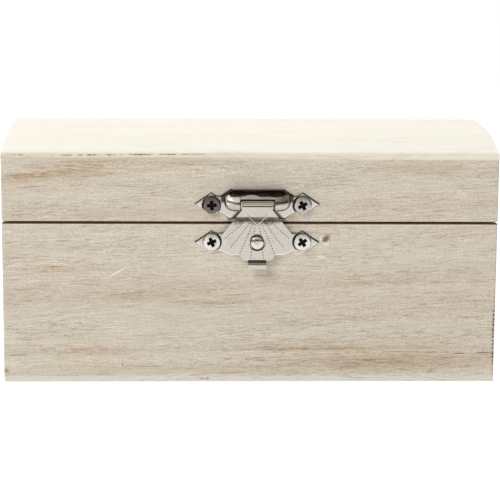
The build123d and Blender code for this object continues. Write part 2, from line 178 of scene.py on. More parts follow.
# Noise of the grain, its cells in millimetres along it, deep and across. A mask has the detail and roughness
# of its noise too, and the two values of the noise between which it rises
DRIFT_CELL, FIBRE_CELL, SPECK_CELL = (42.0, 24.0, 15.0), (7.0, 0.3, 0.16), (0.5, 0.3, 0.18)
GRAIN_MASKS = {
    "band": ((170.0, 14.0, 6.0), 3.0, 0.55, 0.4, 0.68), "patch": ((24.0, 4.0, 2.6), 2.0, 0.55, 0.42, 0.64),
    "line": ((26.0, 0.7, 0.38), 3.0, 0.6, 0.57, 0.67), "pore": ((3.2, 0.2, 0.15), 2.0, 0.6, 0.57, 0.7),
}
DRIFT_REACH = (0.0, 2.4, 2.4)
FIBRE_RISE, PORE_DEPTH, LINE_DEPTH = 0.05, 0.06, 0.03
# Dark fibre loses more blue than red, so it looks warm
FIBRE_WARMTH = (0.85, 1.0, 1.25)


def wood_grain_group():
    """Sawn light wood with its grain along X: soft bands, long thin lines, short pores and fine fibre.
    Bands, lines and pores are smooth steps of noise, and lines and pores gather in patches."""
    tree, given = new_group(
        "wood grain", ["Point"], ["Pale", "Band", "Line", "Pore"],
        ["Band Share", "Line Share", "Pore Share", "Fibre Share"], ["Color", "Height", "Roughness"])
    drift = cloud(given["Point"], DRIFT_CELL, 1.0, colour=True)
    drift = reckon_vector("SUBTRACT", drift, (0.5, 0.5, 0.5))
    drift = reckon_vector("MULTIPLY", drift, DRIFT_REACH)
    point = reckon_vector("ADD", given["Point"], drift)
    band, patch, line, pore = (
        between(cloud(point, cell, detail, roughness), start, end)
        for cell, detail, roughness, start, end in GRAIN_MASKS.values())
    line = times(line, patch)
    pore = times(pore, times_plus(patch, 0.6, 0.4))
    fibre = minus(cloud(point, FIBRE_CELL, 2.0, 0.6), 0.5)
    speck = minus(cloud(point, SPECK_CELL, 1.0), 0.5)
    band_share = times(band, given["Band Share"])
    colour = blend(band_share, given["Pale"], given["Band"])
    colour = blend(times(line, given["Line Share"]), colour, given["Line"])
    colour = blend(times(pore, given["Pore Share"]), colour, given["Pore"])
    uneven = times_plus(speck, 0.9, fibre)
    light = scaled(FIBRE_WARMTH, times(uneven, given["Fibre Share"]))
    colour = reckon_vector("MULTIPLY", colour, reckon_vector("ADD", light, (1.0, 1.0, 1.0)))
    height = times(fibre, FIBRE_RISE)
    height = times_plus(pore, -PORE_DEPTH, height)
    height = times_plus(line, -LINE_DEPTH, height)
    roughness = times_plus(fibre, 0.3, 0.62)
    give_out(tree, {"Color": colour, "Height": height, "Roughness": roughness})
    return tree


# Size of the noise cells that make a mark's rim ragged, in millimetres
RAG_CELL = (1.6, 0.5, 0.35)


def mark_group():
    """Mask of one ragged oval mark: 1 inside, fading to 0 at its rim."""
    tree, given = new_group(
        "oval mark", ["Point", "Middle", "Half Size"], [], ["Turn", "Ragged", "Core"], ["Mask"])
    feeds = {"Vector": given["Point"], "Center": given["Middle"], "Angle": given["Turn"]}
    turned = add(tree, "ShaderNodeVectorRotate", feeds, rotation_type="Y_AXIS").outputs[0]
    local = reckon_vector("SUBTRACT", turned, given["Middle"])
    local = reckon_vector("DIVIDE", local, given["Half Size"])
    distance = measure("LENGTH", local)
    rag = minus(cloud(given["Point"], RAG_CELL, 2.0), 0.5)
    distance = times_plus(rag, given["Ragged"], distance)
    give_out(tree, {"Mask": between(distance, 1.0, given["Core"])})
    return tree


# Noise cells of the metal and the depth of its pits, in millimetres
METAL_WAVE_CELL, METAL_PIT_CELL, METAL_STAIN_CELL = (1.5,) * 3, (0.18,) * 3, (2.2, 2.2, 1.4)
METAL_PIT_DEPTH = 0.0025


def metal_skin_group():
    """Pressed plated metal: slow waves and fine pits in its height, cloudy roughness, faint stains."""
    tree, given = new_group(
        "metal skin", ["Point"], ["Clean", "Stained"], ["Stain Share", "Wave", "Gloss"],
        ["Color", "Height", "Roughness"])
    wave = cloud(given["Point"], METAL_WAVE_CELL, 1.0)
    pit = cloud(given["Point"], METAL_PIT_CELL, 2.0)
    stain = between(cloud(given["Point"], METAL_STAIN_CELL, 4.0, 0.65), 0.45, 0.75)
    stain_share = times(stain, given["Stain Share"])
    colour = blend(stain_share, given["Clean"], given["Stained"])
    height = times(wave, given["Wave"])
    height = times_plus(pit, METAL_PIT_DEPTH, height)
    roughness = times_plus(stain, 0.1, given["Gloss"])
    give_out(tree, {"Color": colour, "Height": height, "Roughness": roughness})
    return tree


def dot_row_group():
    """Mask of a straight row of round dots: each point goes to the nearest dot's centre on the line."""
    tree, given = new_group(
        "dot row", ["Point", "Start", "Way"], [], ["Last", "Pitch", "Radius"], ["Mask"])
    local = reckon_vector("SUBTRACT", given["Point"], given["Start"])
    along = measure("DOT_PRODUCT", local, given["Way"])
    nearest = reckon("ROUND", reckon("DIVIDE", along, given["Pitch"]))
    nearest = reckon("MINIMUM", reckon("MAXIMUM", nearest, 0.0), given["Last"])
    centre = scaled(given["Way"], times(nearest, given["Pitch"]))
    away = measure("DISTANCE", local, centre)
    inner = times(given["Radius"], 0.6)
    give_out(tree, {"Mask": between(away, given["Radius"], inner)})
    return tree


WOOD_GRAIN = wood_grain_group()
OVAL_MARK = mark_group()
METAL_SKIN = metal_skin_group()
DOT_ROW = dot_row_group()


# Materials

def new_material(name):
    """Empty material and its shader."""
    material = bpy.data.materials.new(name)
    material.use_nodes = True
    return material, material.node_tree.nodes["Principled BSDF"]


def in_millimetres(shader, turn=(0.0, 0.0, 0.0), shift=(0.0, 0.0, 0.0)):
    """Place on the piece in millimetres, turned and shifted so that a grain can run along X."""
    place = add(shader.id_data, "ShaderNodeTexCoord").outputs["Object"]
    feeds = {"Vector": place, "Scale": (1 / MM,) * 3, "Rotation": [math.radians(a) for a in turn],
             "Location": shift}
    return add_behind("ShaderNodeMapping", feeds).outputs[0]


def dress_shader(shader, feeds, height, rounding=0.0):
    """Feeds the shader, and a height in millimetres to it as bumps, on edges rounded by that many
    millimetres."""
    bumps = {"Height": height, "Distance": MM, "Strength": 1.0}
    if rounding:
        soft = add(shader.id_data, "ShaderNodeBevel", {"Radius": rounding * MM}, samples=6)
        bumps["Normal"] = soft.outputs[0]
    feed(shader, {**feeds, "Normal": add_behind("ShaderNodeBump", bumps).outputs[0]})


# Tones of the three kinds of wood: colours of its features, and the share that each has
WOOD_SHEEN = 0.25
PANEL_TONES = {
    "Pale": paint(212, 202, 185), "Band": paint(202, 186, 169),
    "Line": paint(186, 146, 108), "Pore": paint(162, 118, 82),
    "Band Share": 0.6, "Line Share": 0.35, "Pore Share": 0.35, "Fibre Share": 0.8,
}
SHEET_TONES = {
    "Pale": paint(249, 245, 233), "Band": paint(246, 241, 227),
    "Line": paint(234, 223, 202), "Pore": paint(230, 217, 194),
    "Band Share": 0.6, "Line Share": 0.15, "Pore Share": 0.1, "Fibre Share": 0.06,
}
BOTTOM_TONES = {
    "Pale": paint(222, 220, 207), "Band": paint(214, 208, 192),
    "Line": paint(190, 176, 154), "Pore": paint(176, 162, 142),
    "Band Share": 0.6, "Line Share": 0.4, "Pore Share": 0.3, "Fibre Share": 0.16,
}


def wood_material(name, tones, turn=(0.0, 0.0, 0.0), shift=(0.0, 0.0, 0.0), dress=None):
    """Wood whose grain direction and place in the plank come from turn and shift; dress adds its marks."""
    material, shader = new_material(name)
    grain = use_group(WOOD_GRAIN, {"Point": in_millimetres(shader, turn, shift), **tones})
    colour, height = grain["Color"], grain["Height"]
    if dress:
        colour, height = dress(in_millimetres(shader), colour, height)
    feeds = {"Base Color": colour, "Roughness": grain["Roughness"], "Specular IOR Level": WOOD_SHEEN}
    dress_shader(shader, feeds, height)
    return material


def marks(point, rows, core=0.5):
    """Joined mask of several marks, one for each row of a table."""
    masks = []
    for x, z, half_length, half_height, turn, ragged, strength in rows:
        feeds = {"Point": point, "Middle": (x, FRONT_Y, z), "Half Size": (half_length, 1.0, half_height),
                 "Turn": math.radians(turn), "Ragged": ragged, "Core": core}
        masks.append(times(use_group(OVAL_MARK, feeds)["Mask"], strength))
    return strongest(masks)


# Marks on the front, a row each: x, z, half length, half height, turn in degrees, raggedness, strength
BASE_BANDS = [
    (34.0, 5.0, 42.0, 4.0, 2.0, 1.0, 0.9), (-42.0, 7.8, 30.0, 2.0, 1.0, 1.0, 0.55),
    (-28.0, 3.4, 38.0, 2.2, 0.0, 1.0, 0.5), (30.0, 8.5, 44.0, 1.0, 0.5, 0.8, 0.9),
    (-45.0, 29.0, 24.0, 1.6, 1.5, 1.0, 0.45), (30.0, 25.6, 40.0, 1.2, 1.5, 1.0, 0.35),
    (-22.0, 22.6, 22.0, 1.2, 4.0, 1.0, 0.35), (-8.0, 3.4, 28.0, 2.2, 0.0, 1.0, 0.6),
]
BASE_LINES = [
    (-52.0, 29.6, 14.0, 0.22, 2.5, 1.4, 0.75), (-54.0, 28.5, 9.0, 0.16, 0.5, 1.2, 0.6),
    (-42.0, 25.2, 7.0, 0.14, -3.0, 1.2, 0.7), (-57.0, 23.9, 6.0, 0.14, 2.0, 1.2, 0.6),
    (-50.0, 21.9, 12.0, 0.15, 0.0, 1.4, 0.6), (-30.0, 22.9, 11.0, 0.16, 5.0, 1.4, 0.7),
    (-33.5, 19.4, 7.0, 0.14, 4.0, 1.2, 0.6), (-50.0, 14.7, 6.0, 0.16, 3.0, 1.2, 0.7),
    (-57.5, 7.0, 6.0, 0.18, 4.0, 1.2, 0.9), (-40.0, 8.3, 16.0, 0.18, 0.0, 1.6, 0.8),
    (-12.0, 24.6, 6.0, 0.2, 3.0, 1.2, 0.6), (23.0, 19.3, 6.0, 0.14, 2.0, 1.2, 0.7),
    (49.0, 25.7, 6.0, 0.14, 2.0, 1.2, 0.8), (27.5, 5.4, 8.0, 0.3, 4.5, 1.0, 0.9),
    (40.0, 6.3, 9.0, 0.2, 4.0, 1.6, 0.5), (50.3, 6.3, 1.9, 0.5, 2.0, 1.2, 0.6),
    (49.7, 4.5, 3.0, 0.14, 5.0, 1.0, 0.7), (10.0, 8.4, 22.0, 0.2, 1.0, 1.8, 0.6),
    (40.0, 7.7, 24.0, 0.2, 0.0, 1.6, 0.6), (-5.0, 2.2, 10.0, 0.3, 0.5, 1.0, 0.45),
    (-24.0, 4.1, 7.0, 0.3, 1.0, 1.2, 0.4),
]
BASE_DASHES = [
    (30.0, 5.2, 36.0, 3.2, 3.0, 0.8, 0.75), (26.0, 9.0, 40.0, 1.2, 1.0, 0.8, 0.6),
    (-44.0, 8.0, 24.0, 1.4, 1.0, 0.8, 0.65), (-48.0, 29.0, 18.0, 1.2, 2.0, 0.8, 0.45),
    (-30.0, 22.0, 26.0, 1.6, 4.0, 0.8, 0.4), (36.0, 25.6, 24.0, 1.2, 2.0, 0.8, 0.35),
]
BASE_PALE = [
    (-33.7, 28.2, 3.9, 0.3, 28.0, 0.5, 0.9), (18.1, 32.2, 1.5, 0.45, -12.0, 0.9, 0.6),
    (17.7, 36.8, 0.45, 1.0, -20.0, 0.9, 0.8), (19.2, 35.5, 1.0, 0.4, 10.0, 0.9, 0.7),
    (42.0, 38.6, 1.0, 0.22, 0.0, 0.6, 0.5), (54.5, 7.0, 3.0, 0.14, 0.0, 0.6, 0.5),
]
BASE_DARK = [
    (19.0, 36.9, 1.35, 1.05, 40.0, 1.4, 1.0), (-32.4, 4.4, 0.35, 0.25, 0.0, 0.6, 0.7),
    (53.6, 7.3, 2.2, 0.15, 1.0, 0.5, 0.9), (59.6, 7.5, 2.7, 0.13, 2.0, 0.5, 1.0),
    (-61.8, 2.9, 0.9, 0.8, 0.0, 1.2, 0.6),
]
EDGE_PITS = [(62.25, 12.0, 0.45, 12.5, 0.0, 0.3, 1.0)]
LID_BANDS = [
    (-48.0, 53.4, 26.0, 3.0, 8.0, 1.0, 0.9), (-38.0, 56.2, 30.0, 1.2, 1.5, 1.0, 0.8),
    (-18.0, 56.0, 26.0, 1.6, 0.0, 1.0, 0.6), (44.0, 54.6, 26.0, 2.2, -2.0, 1.0, 0.5),
    (-30.0, 43.5, 30.0, 1.4, 2.0, 1.0, 0.3),
]
LID_LINES = [
    (-56.0, 49.8, 7.0, 0.24, 5.0, 1.4, 0.6), (-53.5, 57.1, 6.5, 0.14, 3.0, 1.0, 0.6),
    (-57.0, 52.9, 6.0, 0.3, 4.0, 1.6, 0.6), (47.0, 42.8, 6.0, 0.14, 2.0, 1.2, 0.9),
    (-16.0, 54.4, 14.0, 0.14, 3.0, 1.8, 0.5),
]
LID_DASHES = [
    (-46.0, 53.9, 24.0, 2.2, 9.0, 0.8, 0.9), (-36.0, 53.2, 26.0, 1.5, 6.0, 0.8, 0.6),
    (-16.0, 55.8, 20.0, 1.2, 2.0, 0.8, 0.6), (40.0, 54.0, 24.0, 1.4, -2.0, 0.8, 0.35),
]
# Painted shadows of the hasp's plate on the lid, beside the flap
LID_PAINTED_SHADOWS = [(-5.3, 41.8, 1.1, 1.0, 30.0, 0.5, 0.8), (8.2, 41.8, 1.1, 1.0, -30.0, 0.5, 0.8)]
SHEET_PITS = [
    (-31.0, 58.0, 27.0, 0.2, 0.6, 0.5, 1.0), (-58.0, 57.9, 4.5, 0.16, 0.0, 0.5, 0.7),
    (20.0, 57.7, 30.0, 0.12, 0.4, 0.6, 0.25),
]
SHEET_FRINGE = [(-36.0, 56.85, 40.0, 0.6, 0.5, 1.2, 1.0)]
BOTTOM_DARK = [(-12.2, 0.75, 0.9, 0.35, 0.0, 1.2, 0.7), (-10.9, 0.75, 0.7, 0.35, 0.0, 1.2, 0.8)]

# Tints that the wood is multiplied with, and colours of its marks
BAND_TINT = (0.86, 0.79, 0.71, 1.0)
LINE_TINT = (0.62, 0.45, 0.31, 1.0)
DASH_TINT = (0.8, 0.68, 0.53, 1.0)
# Painted shade: dark brown of the seam between lid and base
SEAM_SHADE_TINT = (0.2, 0.11, 0.07, 1.0)
# Painted shade of the sheet's rounded front edge, upper and lower
EDGE_SHADE_TINT = (0.9, 0.86, 0.78, 1.0)
LOW_EDGE_SHADE_TINT = (0.76, 0.72, 0.68, 1.0)
# Painted highlight: pale rim below the seam
RIM_HIGHLIGHT = paint(232, 214, 200)
DENT_PALE = paint(246, 238, 222)
CHIP_BROWN = paint(130, 98, 64)
# Colour of the painted shadow beside the flap
SHADOW_BROWN = paint(104, 80, 56)
FRINGE_PALE = paint(206, 190, 168)
PIT_BROWN = paint(142, 108, 66)
BRUISE_BROWN = paint(150, 132, 108)

# Heights in millimetres where a stripe starts, is full, is still full and has ended: painted brown shade
# along the seam, and a painted pale highlight on the rim below it
SEAM_SHADE_STRIPE = (40.48, 40.62, 41.15, 41.25)
RIM_HIGHLIGHT_STRIPE = (40.14, 40.26, 40.4, 40.5)

# Heights in millimetres between which the sheet's front edge is painted beige, and then darker, as painted
# shade of its rounded edge
EDGE_FALL, LOW_EDGE_FALL = (59.3, 57.9), (58.2, 56.8)

# Sizes of the noise cells, in millimetres, and how deep or high the marks are
DASH_CELL, BREAK_CELL = (2.0, 1.0, 0.24), (4.5, 1.0, 0.9)
STRAY_CELL, TORN_CELL, PIT_PITCH = (1.8, 9.0, 1.8), (0.9, 9.0, 0.9), 1.02
SHEET_RAG_CELL, SHEET_PIT_CELL = (9.0, 1.0, 1.2), (1.3, 1.0, 1.0)
GROOVE_DEPTH, CHIP_DEPTH, DENT_RIM, SHEET_PIT_DEPTH = 0.04, 0.25, 0.1, 0.2


def dashes(point, rows):
    """Short brown pores that fill several marks, each a few millimetres long."""
    short = between(cloud(point, DASH_CELL, 2.0, 0.6), 0.48, 0.62)
    return times(short, marks(point, rows, 0.1))


def shade_front(point, colour, bands, lines, dash_rows):
    """Warm bands, long broken grain lines and dashes, painted brown shade along the seam and a painted pale
    highlight on the rim below it. Returns the colour and the mask of lines and dashes, which are grooves as
    well."""
    colour = blend(marks(point, bands, 0.0), colour, BAND_TINT, "MULTIPLY")
    broken = between(cloud(point, BREAK_CELL, 2.0), 0.4, 0.56)
    line_mask = times(marks(point, lines, 0.3), broken)
    colour = blend(line_mask, colour, LINE_TINT, "MULTIPLY")
    dash_mask = dashes(point, dash_rows)
    colour = blend(dash_mask, colour, DASH_TINT, "MULTIPLY")
    parts = split(point)
    near_front = between(parts["Y"], FRONT_Y + 1.3, FRONT_Y + 0.6)
    # Painted shade along the seam
    seam = times(stripe(parts["Z"], SEAM_SHADE_STRIPE), near_front)
    colour = blend(seam, colour, SEAM_SHADE_TINT, "MULTIPLY")
    # Painted highlight on the rim below the seam
    rim = times(stripe(parts["Z"], RIM_HIGHLIGHT_STRIPE), 0.6)
    colour = blend(rim, colour, RIM_HIGHLIGHT)
    return colour, reckon("MAXIMUM", line_mask, dash_mask)


def edge_pits(point):
    """Row of torn pits up the right corner: the height over their pitch is put out of step by noise, and
    its fraction is 0.5 at the middle of each pit. More noise makes them uneven in strength."""
    stray = cloud(point, STRAY_CELL, 1.0)
    step = reckon("DIVIDE", split(point)["Z"], PIT_PITCH)
    step = reckon("FRACT", times_plus(stray, 2.6, step))
    off = reckon("ABSOLUTE", minus(step, 0.5))
    strength = between(cloud(point, TORN_CELL, 1.0), 0.3, 0.5)
    pit = times(between(off, 0.34, 0.2), strength)
    return times(pit, marks(point, EDGE_PITS, 0.4))


def base_front_marks(point, colour, height):
    """Bands, lines and dashes, the dents, the chip, the split and the torn pits of the right corner."""
    colour, grooves = shade_front(point, colour, BASE_BANDS, BASE_LINES, BASE_DASHES)
    pale = marks(point, BASE_PALE)
    colour = blend(pale, colour, DENT_PALE)
    dark = reckon("MAXIMUM", marks(point, BASE_DARK, 0.2), edge_pits(point))
    colour = blend(dark, colour, CHIP_BROWN)
    height = times_plus(grooves, -GROOVE_DEPTH, height)
    height = times_plus(dark, -CHIP_DEPTH, height)
    height = times_plus(pale, DENT_RIM, height)
    return colour, height


def lid_front_marks(point, colour, height):
    """Tan bands that rise from the left corner, full of brown dashes, and painted brown shadow beside the
    flap.
    """
    colour, grooves = shade_front(point, colour, LID_BANDS, LID_LINES, LID_DASHES)
    # Painted shadow beside the flap
    colour = blend(marks(point, LID_PAINTED_SHADOWS, 0.1), colour, SHADOW_BROWN)
    return colour, times_plus(grooves, -GROOVE_DEPTH, height)


def sheet_edge_marks(point, colour, height):
    """Front edge painted beige and then darker as painted shade of its rounded edge, with brown pits along
    the glue line and board that shows through below it. The painted shade's height is ragged by noise and
    leans a little across the front."""
    x, y, z = split(point)
    rag = times_plus(cloud(point, SHEET_RAG_CELL, 2.0), 0.6, z)
    rag = times_plus(x, 0.007, rag)
    outside = between(y, FRONT_Y + 0.5, FRONT_Y + 0.15)
    # Painted shade down the sheet's rounded front edge
    edge = times(between(rag, *EDGE_FALL), outside)
    colour = blend(edge, colour, EDGE_SHADE_TINT, "MULTIPLY")
    low_edge = times(between(rag, *LOW_EDGE_FALL), outside)
    colour = blend(low_edge, colour, LOW_EDGE_SHADE_TINT, "MULTIPLY")
    short = between(cloud(point, SHEET_PIT_CELL, 3.0, 0.65), 0.47, 0.55)
    pits = times(short, marks(point, SHEET_PITS, 0.3))
    colour = blend(marks(point, SHEET_FRINGE, 0.2), colour, FRINGE_PALE)
    colour = blend(pits, colour, PIT_BROWN)
    return colour, times_plus(pits, -SHEET_PIT_DEPTH, height)


def bottom_edge_marks(point, colour, height):
    """Two brown bruises on the bottom board's front edge."""
    return blend(marks(point, BOTTOM_DARK, 0.2), colour, BRUISE_BROWN), height


# Colour of painted shade and painted dark reflections on the metal
SHADE_PAINT = paint(58, 48, 38)
# Colour of painted highlights on the metal
HIGHLIGHT_PAINT = paint(242, 240, 235)

# Flap's decoration, in millimetres; a ray of dots goes between two (across, up) shares of the flap's size
FLAP_HEIGHT, FLAP_HALF_WIDTH = 9.7, 9.0
DOT_PITCH, DOT_RADIUS = 0.66, 0.16
DOT_RAY_SHARES = (((0.41, 0.96), (0.88, 0.58)), ((0.22, 0.955), (0.72, 0.352)),
                  ((0.15, 0.89), (0.48, 0.173)), ((0.07, 0.83), (0.18, 0.063)))
CHEVRON_TOP, CHEVRON_BOTTOM, CHEVRON_HALF_WIDTH = 43.0, 40.85, 2.3
CHEVRON_RISE, CHEVRON_SINK = 0.2, 0.2


def from_hasp(x):
    """Distance of X from the hasp's middle line."""
    return reckon("ABSOLUTE", minus(x, HASP_X))


def punched_dots(point):
    """Mask of the four rays of dots and their mirror images."""
    parts = split(point)
    flat = add_behind("ShaderNodeCombineXYZ", {"X": from_hasp(parts["X"]), "Z": parts["Z"]}).outputs[0]
    masks = []
    for ray in np.array(DOT_RAY_SHARES):
        first, last = ray * (FLAP_HALF_WIDTH, FLAP_HEIGHT) + (0.0, FLAP_LOW)
        length = np.hypot(*(last - first))
        count = int(length / DOT_PITCH)
        way = (last - first) / length
        feeds = {"Point": flat, "Start": (first[0], 0.0, first[1]), "Way": (way[0], 0.0, way[1]),
                 "Last": count, "Pitch": length / count, "Radius": DOT_RADIUS}
        masks.append(use_group(DOT_ROW, feeds)["Mask"])
    return strongest(masks)


def chevron_stroke(point):
    """Mask along a V: distance to its line, which rises evenly from the middle to both arms' ends."""
    parts = split(point)
    side = from_hasp(parts["X"])
    slope = (CHEVRON_TOP - CHEVRON_BOTTOM) / CHEVRON_HALF_WIDTH
    line = times_plus(side, slope, CHEVRON_BOTTOM - CHEVRON_SINK)
    above = reckon("ABSOLUTE", minus(parts["Z"], line))
    away = times(above, math.cos(math.atan(slope)))
    return times(between(away, 0.17, 0.05), between(side, 2.5, 2.2))


def metal_skin(point, clean, stained, stain_share, wave, gloss):
    feeds = {"Point": point, "Clean": clean, "Stained": stained, "Stain Share": stain_share,
             "Wave": wave, "Gloss": gloss}
    return use_group(METAL_SKIN, feeds)


def attribute(shader, name):
    return add(shader.id_data, "ShaderNodeAttribute", attribute_name=name).outputs["Fac"]


def dress_metal(shader, colour, roughness, height, rounding=0.0):
    dress_shader(shader, {"Base Color": colour, "Roughness": roughness, "Metallic": 1.0}, height, rounding)


def metal_material(name, clean, stained, stain_share, wave, gloss, rounding=0.12):
    """Plated metal, lighter where a point attribute paints a highlight and darker where another paints shade.
    """
    material, shader = new_material(name)
    skin = metal_skin(in_millimetres(shader), clean, stained, stain_share, wave, gloss)
    # Painted highlight
    colour = blend(attribute(shader, "shine"), skin["Color"], HIGHLIGHT_PAINT)
    # Painted shade
    colour = blend(between(attribute(shader, "crease"), 0.05, 0.95), colour, SHADE_PAINT)
    dress_metal(shader, colour, skin["Roughness"], skin["Height"], rounding)
    return material


# Stud, in millimetres from its axis: ring of painted shade, brown middle; its bumps' rise per square
# millimetre
STUD_SHADE_RING, STUD_MIDDLE = (1.4, 1.68), (1.1, 0.6)
MOTTLE_CELL, MOTTLE_BROWN = (0.55,) * 3, paint(146, 118, 88)
STUD_FLATTENING = 0.17


def stud_material(name, clean, stained):
    """Domed nickel stud: a ring of painted shade inside its edge and brown mottling round the middle of the
    dome. Its bumps rise with the square of the distance from the axis, so it mirrors the room like a flatter
    dome."""
    material, shader = new_material(name)
    point = in_millimetres(shader)
    skin = metal_skin(point, clean, stained, 0.5, 0.06, 0.12)
    flat = reckon_vector("MULTIPLY", point, (1.0, 0.0, 1.0))
    from_axis = measure("DISTANCE", flat, (HASP_X, 0.0, STUD_Z))
    mottle = between(cloud(point, MOTTLE_CELL, 2.0), 0.44, 0.58)
    mottle = times(mottle, between(from_axis, *STUD_MIDDLE))
    colour = blend(times(mottle, 0.75), skin["Color"], MOTTLE_BROWN)
    # Painted shade in a ring inside the dome's edge
    ring = times(between(from_axis, *STUD_SHADE_RING), 0.9)
    colour = blend(ring, colour, SHADE_PAINT)
    flatter = times(times(from_axis, from_axis), STUD_FLATTENING)
    height = reckon("ADD", skin["Height"], flatter)
    dress_metal(shader, colour, skin["Roughness"], height, 0.3)
    return material


# Flap: heights and depths in millimetres between which a mask rises or falls, heights of its bumps, its
# noise cells and the tones of its barrel: painted shade, painted lines of reflection and painted shadow
BARREL_EDGE, BARREL_UNDERSIDE, PROUD_OF_NECK = (45.02, 45.12), (45.55, 45.35), (-38.75, -38.85)
BEND_RISE, BEND_FALL = (41.5, 42.5), (42.7, 41.9)
TAB_STRIPE, PROUD_OF_TAB = (30.7, 31.05, 31.12, 31.42), (-39.0, -39.2)
RAMP_RISE, TAB_RIDGE, BEND_ROUGHNESS = 1.25, 0.16, 0.05
BARREL_LINE_CELL, SCALLOP_CELL, UNEVEN_CELL = (30.0, 0.3, 0.3), (1.5, 90.0, 90.0), (1.3, 9.0, 1.0)
BARREL_DARK, BARREL_PALE, BARREL_SHADOW = paint(140, 128, 110), paint(186, 178, 164), paint(30, 24, 19)


def flap_barrel(point, colour):
    """Colour with the rolled barrel painted dull as shade under the hood, in fine painted lines of reflection
    along it, and a painted shadow on its underside.
    """
    parts = split(point)
    barrel = times(between(parts["Z"], *BARREL_EDGE), between(parts["Y"], *PROUD_OF_NECK))
    under = times(between(parts["Z"], *BARREL_UNDERSIDE), barrel)
    line = between(cloud(point, BARREL_LINE_CELL, 1.0), 0.42, 0.6)
    # Painted shade and painted lines of reflection over the barrel
    colour = blend(barrel, colour, blend(line, BARREL_DARK, BARREL_PALE))
    # Painted shadow under the barrel
    return blend(under, colour, BARREL_SHADOW)


def flap_material(name, clean, stained):
    """Plated sheet of the flap: barrel painted dull as shade, punched dots painted dark as shade, raised
    chevron with a painted highlight along it, a scalloped band of painted dark reflection over its bend. Its
    bumps ease the ramp below the neck, roughen the bend and raise a ridge on the tab."""
    material, shader = new_material(name)
    point = in_millimetres(shader)
    skin = metal_skin(point, clean, stained, 0.5, 0.012, 0.08)
    x, y, z = split(point)
    colour = flap_barrel(point, skin["Color"])
    # Painted shade in the punched dots
    colour = blend(punched_dots(point), colour, SHADE_PAINT)
    uneven = cloud(point, UNEVEN_CELL, 2.0)
    scallop = times_plus(cloud(point, SCALLOP_CELL, 2.0), 2.2, z)
    bend = times(between(scallop, *BEND_RISE), between(z, *BEND_FALL))
    share = between(x, -4.5, -1.0, 0.34, 0.54)
    share = times_plus(between(uneven, 0.42, 0.62), 0.3, share)
    # Painted dark reflection in a band over the bend
    colour = blend(times(bend, share), colour, SHADE_PAINT)
    chevron = chevron_stroke(point)
    # Painted highlight along the raised chevron
    colour = blend(chevron, colour, HIGHLIGHT_PAINT)
    up_ramp = reckon("MAXIMUM", minus(z, RAMP_LOW), 0.0)
    up_ramp = reckon("MINIMUM", up_ramp, RAMP_RISE)
    ease = times(up_ramp, times_plus(up_ramp, 0.042, 0.035))
    height = reckon("ADD", skin["Height"], ease)
    height = times_plus(chevron, CHEVRON_RISE, height)
    height = times_plus(times(uneven, bend), BEND_ROUGHNESS, height)
    ridge = times(stripe(z, TAB_STRIPE), between(y, *PROUD_OF_TAB))
    height = times_plus(ridge, TAB_RIDGE, height)
    dress_metal(shader, colour, skin["Roughness"], height, 0.05)
    return material


# Tarnish of a head, and painted shade in its cross recess
TARNISH, RECESS_SHADE = paint(112, 105, 104), paint(40, 32, 27)


def screw_material(name, clean, stained):
    """Bright steel with painted shade in the recess, greyer by each head's own tarnish."""
    material, shader = new_material(name)
    skin = metal_skin(in_millimetres(shader), clean, stained, 0.5, 0.008, 0.22)
    recess = attribute(shader, "recess")
    colour = blend(attribute(shader, "tarnish"), skin["Color"], TARNISH)
    # Painted shade in the cross recess
    colour = blend(between(recess, 0.1, 0.7), colour, RECESS_SHADE)
    roughness = times_plus(recess, 0.35, skin["Roughness"])
    dress_metal(shader, colour, roughness, skin["Height"])
    return material


GRAIN_ALONG_DEPTH = (0.0, 0.0, 90.0)

base_front_wood = wood_material("base front board", PANEL_TONES, (0.0, 2.0, 0.0), dress=base_front_marks)
lid_front_wood = wood_material("lid front board", PANEL_TONES, (0.0, 3.0, 0.0), (40.0, 9.0, 300.0),
                               lid_front_marks)
base_back_wood = wood_material("base back board", PANEL_TONES, shift=(210.0, 40.0, 90.0))
lid_back_wood = wood_material("lid back board", PANEL_TONES, (0.0, -2.0, 0.0), (500.0, 70.0, 150.0))
base_end_wood = wood_material("base end boards", PANEL_TONES, GRAIN_ALONG_DEPTH, (0.0, 333.0, 20.0))
lid_end_wood = wood_material("lid end boards", PANEL_TONES, GRAIN_ALONG_DEPTH, (70.0, 120.0, 410.0))
sheet_wood = wood_material("bent top sheet", SHEET_TONES, shift=(0.0, 900.0, 60.0), dress=sheet_edge_marks)
bottom_wood = wood_material("plywood bottom", BOTTOM_TONES, shift=(77.0, 15.0, 600.0),
                            dress=bottom_edge_marks)
nickel = metal_material("nickel plate", paint(198, 193, 184), paint(178, 170, 158),
                        stain_share=0.5, wave=0.02, gloss=0.07, rounding=0.0)
stud_nickel = stud_material("stud nickel", paint(222, 218, 210), paint(196, 188, 176))
flap_nickel = flap_material("flap nickel", paint(196, 191, 181), paint(176, 169, 157))
screw_steel = screw_material("screw steel", paint(226, 224, 221), paint(176, 170, 166))
hinge_steel = metal_material("hinge steel", paint(206, 201, 192), paint(182, 173, 158),
                             stain_share=0.6, wave=0.02, gloss=0.24)

